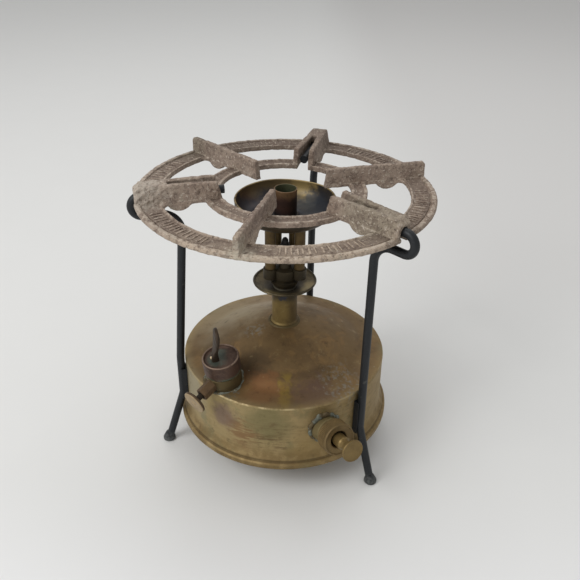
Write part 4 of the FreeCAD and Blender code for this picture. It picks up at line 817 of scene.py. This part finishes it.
def solder_bead(name, place, radius, on_crown, size, seed, fat=0, fat_side=0):
    """A lumpy fillet of solder where a round boss meets the tank.

    For each angle round the boss the line radius away from its axis is followed until it
    meets the tank: on the crown where its height equals the crown's at that reach, on the
    wall where its reach equals the wall's.  The fillet's size wanders with noise and swells
    toward one side; its middle lies outside the line by its size less BEAD_INSET.
    """
    origin, axes = place
    turns = round_angles(BEAD_SPOTS)
    side = radius * (np.cos(turns)[:, None] * axes[0] + np.sin(turns)[:, None] * axes[1])
    along = np.zeros(BEAD_SPOTS)
    for _ in range(30):
        spots = origin + side + along[:, None] * axes[2]
        reach = norm(spots[:, :2], axis=1)
        if on_crown:
            along = along + (tank_height(reach) - spots[:, 2])
        else:
            along = along + (WALL_REACH - reach)
    swell = 1 + 0.35 * ripple(spots, 6, seed) + fat * np.clip(np.cos(turns - fat_side), 0, 1) ** 2
    section = ring_section(1, 10) * [1, 0.8]
    spots = spots + side / radius * (size * swell - BEAD_INSET)[:, None]
    bead = sweep(spots, section, size * swell, closed=True, up=axes[2])
    bead = bead + 0.16 * ripple(bead, 2.4, seed + 1)[..., None] * axes[2]
    add_piece(name, bead, "solder", slot="brass_tank")


solder_bead("filler_solder", FILLER, 13.9, True, 1.2, 51, 0.9, radians(300))
solder_bead("pump_solder", PUMP, 11.2, False, 1.3, 53, 1.1, radians(200))
loop("riser_solder", [
    (11.7, 109.4), (14.4, 109, 0.4), (13.3, 110.5, 1), (12.3, 111.2, 0.8), (11.7, 111.3)],
    "boss", wobble=0.35, slot="brass_tank")

loop("cap_turned", [
    (0, 18.6), (11.5, 18.6), (11.5, 11.9), (13.7, 11.9, 0.3), (14.4, 12.9, 0.5), (14.4, 25, 0.8),
    (13.9, 25.9, 0.6), (13.2, 25.9, 0.4), (12.8, 25.4, 0.4), (12.4, 24.6, 0.4), (11.4, 24.2, 1), (0, 24)],
    "cap", FILLER, 144, 0.6, 0.05, body="filler_screw", nodes=["filler_cap"], slot="brass_dark")


def thumb_wing():
    """The wing: an upright leaf that widens from its root, a little bent and worn thin.

    Its half width and thickness follow its height; the section is a superellipse and the
    rounded tip closes as an ellipse does.  Its root is a thick boss a little to one side of the
    cap's axis, with the rivet's head on it.
    """
    tip = np.sin(np.linspace(0.05, pi / 2 - 0.04, 18))
    rise = np.concatenate([np.linspace(23.6, 45, 40), 45 + 6.9 * tip])
    half = np.interp(rise, [23.6, 29.5, 33, 38, 45], [3.4, 3.4, 4.6, 7, 8.4])
    half = np.where(rise > 45, 8.4 * np.sqrt(np.clip(1 - ((rise - 45) / 6.95) ** 2, 0, 1)), half)
    thick = np.interp(rise, [23.6, 28, 31, 40, 48, 52], [2.9, 2.6, 1.8, 1.6, 1.8, 1.1])
    bend = np.interp(rise, [23.6, 27, 31, 38, 45, 52], [-4.2, -4.2, -3.2, -1.6, 0, 0.9])
    c, s = np.cos(round_angles(40)), np.sin(round_angles(40))
    wide, deep = np.sign(c) * np.abs(c) ** 0.5, np.sign(s) * np.abs(s) ** 0.6
    across, aside = half[:, None] * wide, thick[:, None] * deep + bend[:, None]
    leaf = np.stack([across, aside, rise[:, None] + 0 * wide], -1)
    leaf[..., 1] += 0.12 * ripple(leaf, 7, 61)
    turn = turned_by(56)
    leaf = placed(ends_closed(leaf) @ turn.T, FILLER)
    mesh = fill_mesh("thumb_wing", [], [leaf])
    add_piece("thumb_wing", mesh, "wing", "filler_screw", ["cap_wing"], "brass_dark")
    origin, axes = FILLER
    away = -turn[:, 1] @ axes
    head = (origin + 26.4 * axes[2] + 6.7 * away, np.stack([np.cross(axes[2], away), axes[2], away]))
    loop("rivet_head", [(0, -1), (1.35, -1), (1.35, 0.3, 0.4), (0.8, 1, 0.5), (0, 1.1)],
         "rivet", head, 24, 0.5, body="filler_screw", nodes=["wing_rivet"], slot="brass_bright")


def faceted_sleeve():
    """The air screw's sleeve: a six-sided bush; its reach is the half width over cos(angle)."""
    profile = rounded([(3.15, 13), (4.5, 13, 0.2), (4.5, 25.2, 0.4), (3.15, 25.2, 0.2)], 0.8)
    grid = lathe(profile, 96)
    turn = round_angles(96)
    facet = 1 / np.cos((turn % (pi / 3)) - pi / 6)
    outside = np.clip((profile[:, 0, None] - 3.2) / 1.2, 0, 1)
    grid[..., :2] *= (1 + outside * (np.minimum(facet, 1.13) * 1.035 - 1))[..., None]
    add_piece("air_bush", placed(grid, AIR), "bush", slot="brass_tank")


thumb_wing()
faceted_sleeve()
loop("air_disc", [
    (1.85, 30.9), (8.6, 30.9, 0.5), (9.7, 31.6, 0.6), (9.7, 33.3, 0.6), (8.9, 34, 0.4), (8.2, 33.8, 0.5),
    (2.4, 33.8, 0.6), (1.6, 34.3, 0.5), (0, 34.45), (0, 34.05), (1.85, 34.02)],
    "disc", AIR, 120, 0.5, 0.08, body="air_screw", nodes=["air_screw_head"], slot="brass_bright")


# ---- Pump: knurled cap and knob ----
def knurled_cap():
    """The pump's cap: a thin rim round a flat face, and fine straight knurling on its side.

    In the knurled stretch the radius falls by up to 0.35 mm as a cosine of the angle.
    """
    profile = rounded([
        (6.7, 17.95), (9.3, 17.95), (9.3, 10.5), (12.3, 10.5, 0.3), (12.9, 11.2, 0.3), (12.9, 20.9, 0.3),
        (12.5, 22, 0.4), (11.8, 22, 0.3), (11.4, 21.2, 0.3), (7.3, 21, 0.5), (6.7, 20.3, 0.3)], 0.5)
    turns, teeth = 420, 70
    grid = lathe(profile, turns)
    angle = round_angles(turns)
    zone = np.clip((profile[:, 1] - 11.9) / 0.5, 0, 1) * np.clip((20.3 - profile[:, 1]) / 0.5, 0, 1)
    zone = (zone * (profile[:, 0] > 12))[:, None]
    grid[..., :2] *= (1 - 0.028 * zone * (0.5 - 0.5 * np.cos(teeth * angle)))[..., None]
    add_piece("pump_cap_knurled", placed(grid, PUMP), "pump", "pump_cap_screw",
              ["pump_cap"], "brass_tank")


knurled_cap()
loop("plunger_knob", [
    (2.7, 18.5), (4.5, 18.5, 0.3), (5.1, 19.3, 0.5), (5.1, 27.6, 0.7), (4.4, 28.8, 0.8), (4, 31.5, 2.4),
    (4.4, 35.2, 2.4), (7.4, 38, 0.9), (8.4, 38.3, 0.4), (8.6, 38.9, 0.3), (8.6, 39.8, 0.3), (8.25, 40.3, 0.22),
    (7.85, 40.2, 0.2), (7.5, 39.9, 0.4), (0, 39.7), (0, 30.55), (2.7, 30.55)],
    "knob", PUMP, 120, 0.5, 0.03, body="plunger", nodes=["pump_knob"], slot="brass_bright")


# ---- Cast ring ----
RING_TOP, ARM_TOP, WEB_LOW = 227.8, 240, 224.8
BLADE_HALF, HOLE_HALF, WIRE_HEIGHT = 2.35, 3.5, 231
CAST_REACH, CAST_TOP = 111.9, 239.96
LUMP_SIZE, GRAIN_SIZE, NET_STEP = 9, 3.4, 0.78
WEB_IN, WEB_OUT, WEB_TOP = 60, 93.3, RING_TOP - 0.15
SOCKET_FOOT, SLOT_HALF = 8.6, 4.1


def block(first, last):
    """A solid between two outlines with as many points: the ends, and one side per edge."""
    count = len(first)
    faces = [tuple(range(count)), tuple(range(2 * count - 1, count - 1, -1))]
    faces += [(i, (i + 1) % count, count + (i + 1) % count, count + i) for i in range(count)]
    return np.concatenate([first, last]), faces


def flat(outline, level, layout):
    """A flat outline (a, b) at a level c; the layout says which of them is x, y and z."""
    outline = np.array(outline, float)
    columns = {"a": outline[:, 0], "b": outline[:, 1], "c": np.full(len(outline), float(level))}
    return np.stack([columns[letter] for letter in layout], -1)


def slab(outline, near, far, layout):
    """The solid of a flat outline between two levels."""
    return block(flat(outline, near, layout), flat(outline, far, layout))


def web_side(half):
    """Half widths of a web along its reach, as points (reach, side).

    Near the band the side flares round a circle of radius 8 that touches the arm and the
    circle of radius 93; near the inner ring round one of radius 3.5 that touches radius 61.
    """
    outer = sqrt(85 ** 2 - (half + 8) ** 2)
    inner = sqrt(64.5 ** 2 - (half + 3.5) ** 2)
    reach = np.linspace(WEB_IN, WEB_OUT, 48)
    past, short = np.clip(reach - outer, 0, 7.9), np.clip(inner - reach, 0, 3.4)
    side = half + 8 - np.sqrt(64 - past ** 2) + 3.5 - np.sqrt(3.5 ** 2 - short ** 2)
    return np.stack([reach, side], -1)


def lobe(near, far):
    """The lump under an arm's middle, from one side to the other."""
    outline = bowed((89, WEB_LOW + 0.4), (80, WEB_LOW - 4.6), (71, WEB_LOW + 0.4), 11)
    return slab(outline, near, far, "acb")


def socket_sides(reach):
    """How far along its length a socket is at a reach, from 0 to 1, and its half width on top."""
    along = np.clip((reach - 50) / 61, 0, 1)
    return along, 8.3 - 2.1 * along


def socket_section(reach, top, slant=0):
    """Half of a socket's section at a reach, as points: a plate that leans in toward its top.

    The plates stand 8.2 mm apart at their inner end and draw together outward.
    """
    along, outside = socket_sides(reach)
    slot = SLOT_HALF - 2.3 * np.clip((reach - 50) / 37, 0, 1)
    points = [(4.2, WEB_LOW), (SLOT_HALF - 0.4 * along, WIRE_HEIGHT + 1.5), (slot, top),
              (outside, top), (SOCKET_FOOT, WEB_LOW)]
    return np.array([(reach + slant * (up - WEB_LOW), side, up) for side, up in points])


def socket_roof(reach, top):
    """The section of a socket's closed outer end, arched over the wire."""
    hole, foot, outside = HOLE_HALF, SOCKET_FOOT, socket_sides(reach)[1]
    arch = bowed((hole, WIRE_HEIGHT), (0, WIRE_HEIGHT + hole), (-hole, WIRE_HEIGHT), 9)
    corners = [(-foot, WEB_LOW), (-outside, top), (outside, top), (foot, WEB_LOW), (hole, WEB_LOW)]
    return flat(np.concatenate([corners, arch, [(-hole, WEB_LOW)]]), reach, "cab")


def ring_arms():
    """The three blades, three sockets and six webs, as (angle, points, faces) blocks."""
    blocks = []
    for angle in BLADE_ANGLES:
        side = [(29.6, WEB_LOW), (32, ARM_TOP), (108.8, ARM_TOP), (110.6, ARM_TOP - 2.2), (110.6, WEB_LOW)]
        blade = slab(side, -BLADE_HALF, BLADE_HALF, "acb")
        blade[0][:, 1] *= 1.08 - 0.18 * (blade[0][:, 2] - WEB_LOW) / (ARM_TOP - WEB_LOW)
        rim = web_side(BLADE_HALF)
        plan = np.concatenate([rim, rim[::-1] * [1, -1]])
        web = slab(plan, WEB_LOW, WEB_TOP, "abc")
        blocks += [(angle, *blade), (angle, *web), (angle, *lobe(-BLADE_HALF - 0.2, BLADE_HALF + 0.2))]
    for angle in SOCKET_ANGLES:
        for hand in (-1, 1):
            mirror = np.array([1, hand, 1])
            inner, outer = socket_section(48, ARM_TOP, 4 / 15.2), socket_section(89, ARM_TOP)
            plate = block(inner * mirror, outer * mirror)
            rim = web_side(8.4)
            plan = np.concatenate([rim, [[WEB_OUT, SLOT_HALF], [WEB_IN, SLOT_HALF]]]) * [1, hand]
            web = slab(plan, WEB_LOW, WEB_TOP, "abc")
            blocks += [(angle, *plate), (angle, *web), (angle, *lobe(SLOT_HALF * hand, 8.5 * hand))]
        blocks.append((angle, *block(socket_roof(87, ARM_TOP), socket_roof(107, ARM_TOP))))
        blocks.append((angle, *block(socket_roof(107, ARM_TOP), socket_roof(111.2, ARM_TOP - 4))))
        floor_plan = [(86, -4.2), (WEB_OUT, -4.2), (WEB_OUT, 4.2), (86, 4.2)]
        blocks.append((angle, *slab(floor_plan, WEB_LOW, RING_TOP - 0.3, "abc")))
    return blocks


def skinned(blocks):
    """One skin round all the blocks, rebuilt on an even net and eased so that edges round."""
    spots, faces, base = [], [], 0
    for angle, points, sides in blocks:
        spots.append(points @ turned_by(angle).T)
        faces += [tuple(base + i for i in side) for side in sides]
        base += len(points)
    mesh = bpy.data.meshes.new("arms_source")
    mesh.from_pydata((np.concatenate(spots) * MM).tolist(), [], faces)
    with opened(mesh):
        pass
    source = put("arms_source", mesh)
    net = source.modifiers.new("net", "REMESH")
    net.mode = "VOXEL"
    net.voxel_size = NET_STEP * MM
    ease = source.modifiers.new("ease", "SMOOTH")
    ease.factor = 0.5
    ease.iterations = 2
    bpy.context.view_layer.update()
    shape = source.evaluated_get(bpy.context.evaluated_depsgraph_get())
    skin = bpy.data.meshes.new_from_object(shape)
    bpy.data.objects.remove(source)
    return skin


def ring_ribs():
    """Plain raised ribs across the band's channel, unevenly spaced inside the six windows.

    Each is a low rounded bar along the reach; its ends close in the channel's floor.
    """
    rng = np.random.default_rng(77)
    section = rounded([(-0.85, -0.6), (0.85, -0.6), (0.6, 0.85, 0.35), (-0.6, 0.85, 0.35)], 3)
    ribs = []
    for middle in 44.6 + 60 * np.arange(6):
        spot = middle - 16
        while spot < middle + 16:
            start, end = rng.uniform(95.6, 96.6), rng.uniform(104.4, 105.6)
            reaches = start, start + 0.5, (start + end) / 2, end - 0.5, end
            path = np.array([[reach, 0, 226.9] for reach in reaches])
            path[:, 2] += [-0.9, -0.1, 0, -0.1, -0.9]
            bar = sweep(path, section * [rng.uniform(0.7, 1.25), rng.uniform(0.7, 1)])
            ribs.append(ends_closed(bar @ turned_by(spot).T))
            spot += rng.uniform(1.7, 2.9)
    return ribs


def ring_band():
    """The band: a rolled outer lip, a groove inside it, a low channel and a thin inner lip,
    with a notch for each leg's hook."""
    profile = rounded([
        (93, 223.6, 0.8), (110.7, 223.6, 1.2), (112, 225.1, 1.2), (112, 226.8, 1.1), (110.7, 227.9, 1.1),
        (108, 227.8, 0.6), (107.4, 226.3, 0.25), (106.7, 226.3, 0.25), (106.3, 227, 0.3), (95, 227, 0.3),
        (94.4, 227.8, 0.4), (93, 227.8, 0.6)], 1.3)
    angles = np.arange(0, 360, 0.5)
    for socket in SOCKET_ANGLES:
        away = (angles - socket + 180) % 360 - 180
        angles = angles[np.abs(away) > 2.35]
        angles = np.concatenate([angles, (socket + np.array([-2.1, -1.95, -1.8, -1, 0, 1, 1.8, 1.95, 2.1])) % 360])
    angles = np.sort(angles)
    across, up = profile[:, 0, None] + 0 * angles, profile[:, 1, None] + 0 * angles
    for socket in SOCKET_ANGLES:
        away = np.abs((angles - socket + 180) % 360 - 180)
        across = np.where((away < 1.9) & (across > 103), 103 + (across - 103) * 0.02, across)
    turns = np.radians(angles)
    return np.stack([across * np.cos(turns), across * np.sin(turns), up], -1)


def ring_arcs():
    """The inner ring's three arcs between the sockets, grooved on top, with closed ends."""
    profile = rounded([
        (49, 223.6, 0.8), (61.2, 223.6, 0.8), (61.2, 227.8, 0.8), (59, 227.8, 0.4), (58, 226.9, 0.4),
        (52.2, 226.9, 0.4), (51.2, 227.8, 0.4), (49, 227.8, 0.8)], 1.3)
    arcs = []
    for socket in SOCKET_ANGLES:
        turns = np.radians(socket + np.linspace(5.2, 114.8, 112))
        across, up = profile[None, :, 0], profile[None, :, 1]
        arc = np.stack([across * np.cos(turns)[:, None], across * np.sin(turns)[:, None],
                        up + 0 * turns[:, None]], -1)
        arcs.append(ends_closed(arc))
    return arcs


def sand_cast(name, mesh):
    """A piece of the ring, with every point moved along its normal by lumps and grains of noise.

    They are strongest in the crust on the left socket, and the arms' tops are worn in places.
    """
    count = len(mesh.vertices)
    spots, normals = np.zeros(count * 3, np.float32), np.zeros(count * 3, np.float32)
    mesh.vertices.foreach_get("co", spots)
    mesh.vertex_normals.foreach_get("vector", normals)
    spots, normals = spots.reshape(-1, 3) / MM, normals.reshape(-1, 3)
    away = norm(spots - [-105, -27, 232], axis=1)
    crusty = np.exp(-away ** 2 / 420)
    lump = 0.13 * ripple(spots, LUMP_SIZE, 41) + 0.09 * ripple(spots, GRAIN_SIZE, 42, 24)
    lump += crusty * (0.38 * ripple(spots, 4.6, 43, 24) + 0.2 * ripple(spots, 2.2, 44, 24))
    worn = np.clip((spots[:, 2] - 236) / 3, 0, 1) * np.clip(ripple(spots, 8, 45) - 0.1, 0, 1)
    spots = spots + normals * (lump - 0.1)[:, None]
    across = norm(spots[:, :2], axis=1)
    spots[:, :2] *= (np.minimum(across, CAST_REACH) / across)[:, None]
    spots[:, 2] = np.minimum(spots[:, 2] - 0.55 * worn, CAST_TOP)
    mesh.vertices.foreach_set("co", (spots * MM).astype(np.float32).ravel())
    mesh.update()
    add_piece(name, mesh, "iron", "stove", ["pot_ring"], "iron_ring")


sand_cast("ring_cast", fill_mesh("ring_cast", [ring_band()], ring_arcs() + ring_ribs()))
sand_cast("ring_arms", skinned(ring_arms()))


# ---- Floor, light and camera ----
def floor():
    """A pale table top, flat and wide, with painted light toward the front and the stove's shadow painted to the
    back right.
    """
    f = Finish("pale_floor")
    soft = f.noise(60, 3)
    colour = layered(
        f, (222, 222, 220), (soft * 0.4, (217, 217, 215)),
        # Painted light toward the front, and the stove's painted shadow to the back right.
        (f.y.step(-60, -260), (233, 233, 233)),
        (f.x.step(40, 300) * f.y.step(60, 360), (210, 209, 207)))
    f.wear(colour, 0, 0.75)
    half = 6000
    grid = np.array([[[-half, -half, 0], [half, -half, 0]], [[-half, half, 0], [half, half, 0]]], float)
    mesh = bpy.data.meshes.new("table_top")
    mesh.from_pydata((grid.reshape(-1, 3) * MM).tolist(), [], [(0, 1, 3, 2)])
    mesh.materials.append(f.material)
    put("table_top", mesh)


def aimed(name, data, spot, axes):
    """An object at a spot in metres with the given X, Y and Z axes."""
    holder = put(name, data)
    rows = np.column_stack([*axes, spot]).tolist()
    holder.matrix_world = Matrix(rows + [[0, 0, 0, 1]])
    return holder


def area_light(name, spot, size, power):
    """A square lamp at a spot in metres, turned toward the stove."""
    lamp = bpy.data.lights.new(name, "AREA")
    lamp.shape = "SQUARE"
    lamp.size = size
    lamp.energy = power
    away = np.array(spot) - [0, 0, 0.1]
    away /= norm(away)
    side = np.cross([0, 0, 1], away)
    side /= norm(side)
    aimed(name, lamp, spot, [side, np.cross(away, side), away])


def world_light(strength):
    """Even white light from all round."""
    world = bpy.data.worlds.new("soft_room")
    world.use_nodes = True
    tree = world.node_tree
    tree.nodes.clear()
    glow = tree.nodes.new("ShaderNodeBackground")
    out = tree.nodes.new("ShaderNodeOutputWorld")
    tree.links.new(glow.outputs[0], out.inputs["Surface"])
    glow.inputs["Color"].default_value = (1, 1, 1, 1)
    glow.inputs["Strength"].default_value = strength
    SCENE.world = world


def camera(spot, pitch, roll, lens):
    """A camera at a point in mm that looks along +Y and down by the pitch, tipped by the roll."""
    p, r = radians(pitch), radians(roll)
    ahead = np.array([0, cos(p), -sin(p)])
    level, up = np.array([1, 0, 0]), np.array([0, sin(p), cos(p)])
    right = cos(r) * level + sin(r) * up
    top = -sin(r) * level + cos(r) * up
    view = bpy.data.cameras.new("view")
    view.lens = lens
    view.sensor_width = 36
    view.clip_start = 0.01
    view.clip_end = 50
    SCENE.camera = aimed("view", view, np.array(spot) * MM, [right, top, -ahead])


floor()
area_light("key", (-1.3, -0.9, 1.5), 1.1, 22)
area_light("top", (0.2, 0.9, 1.7), 1.4, 8)
world_light(0.55)
camera((4.33, -480.55, 428.4), 31.10, 0.83, 42.83)
SCENE.view_settings.view_transform = "Standard"
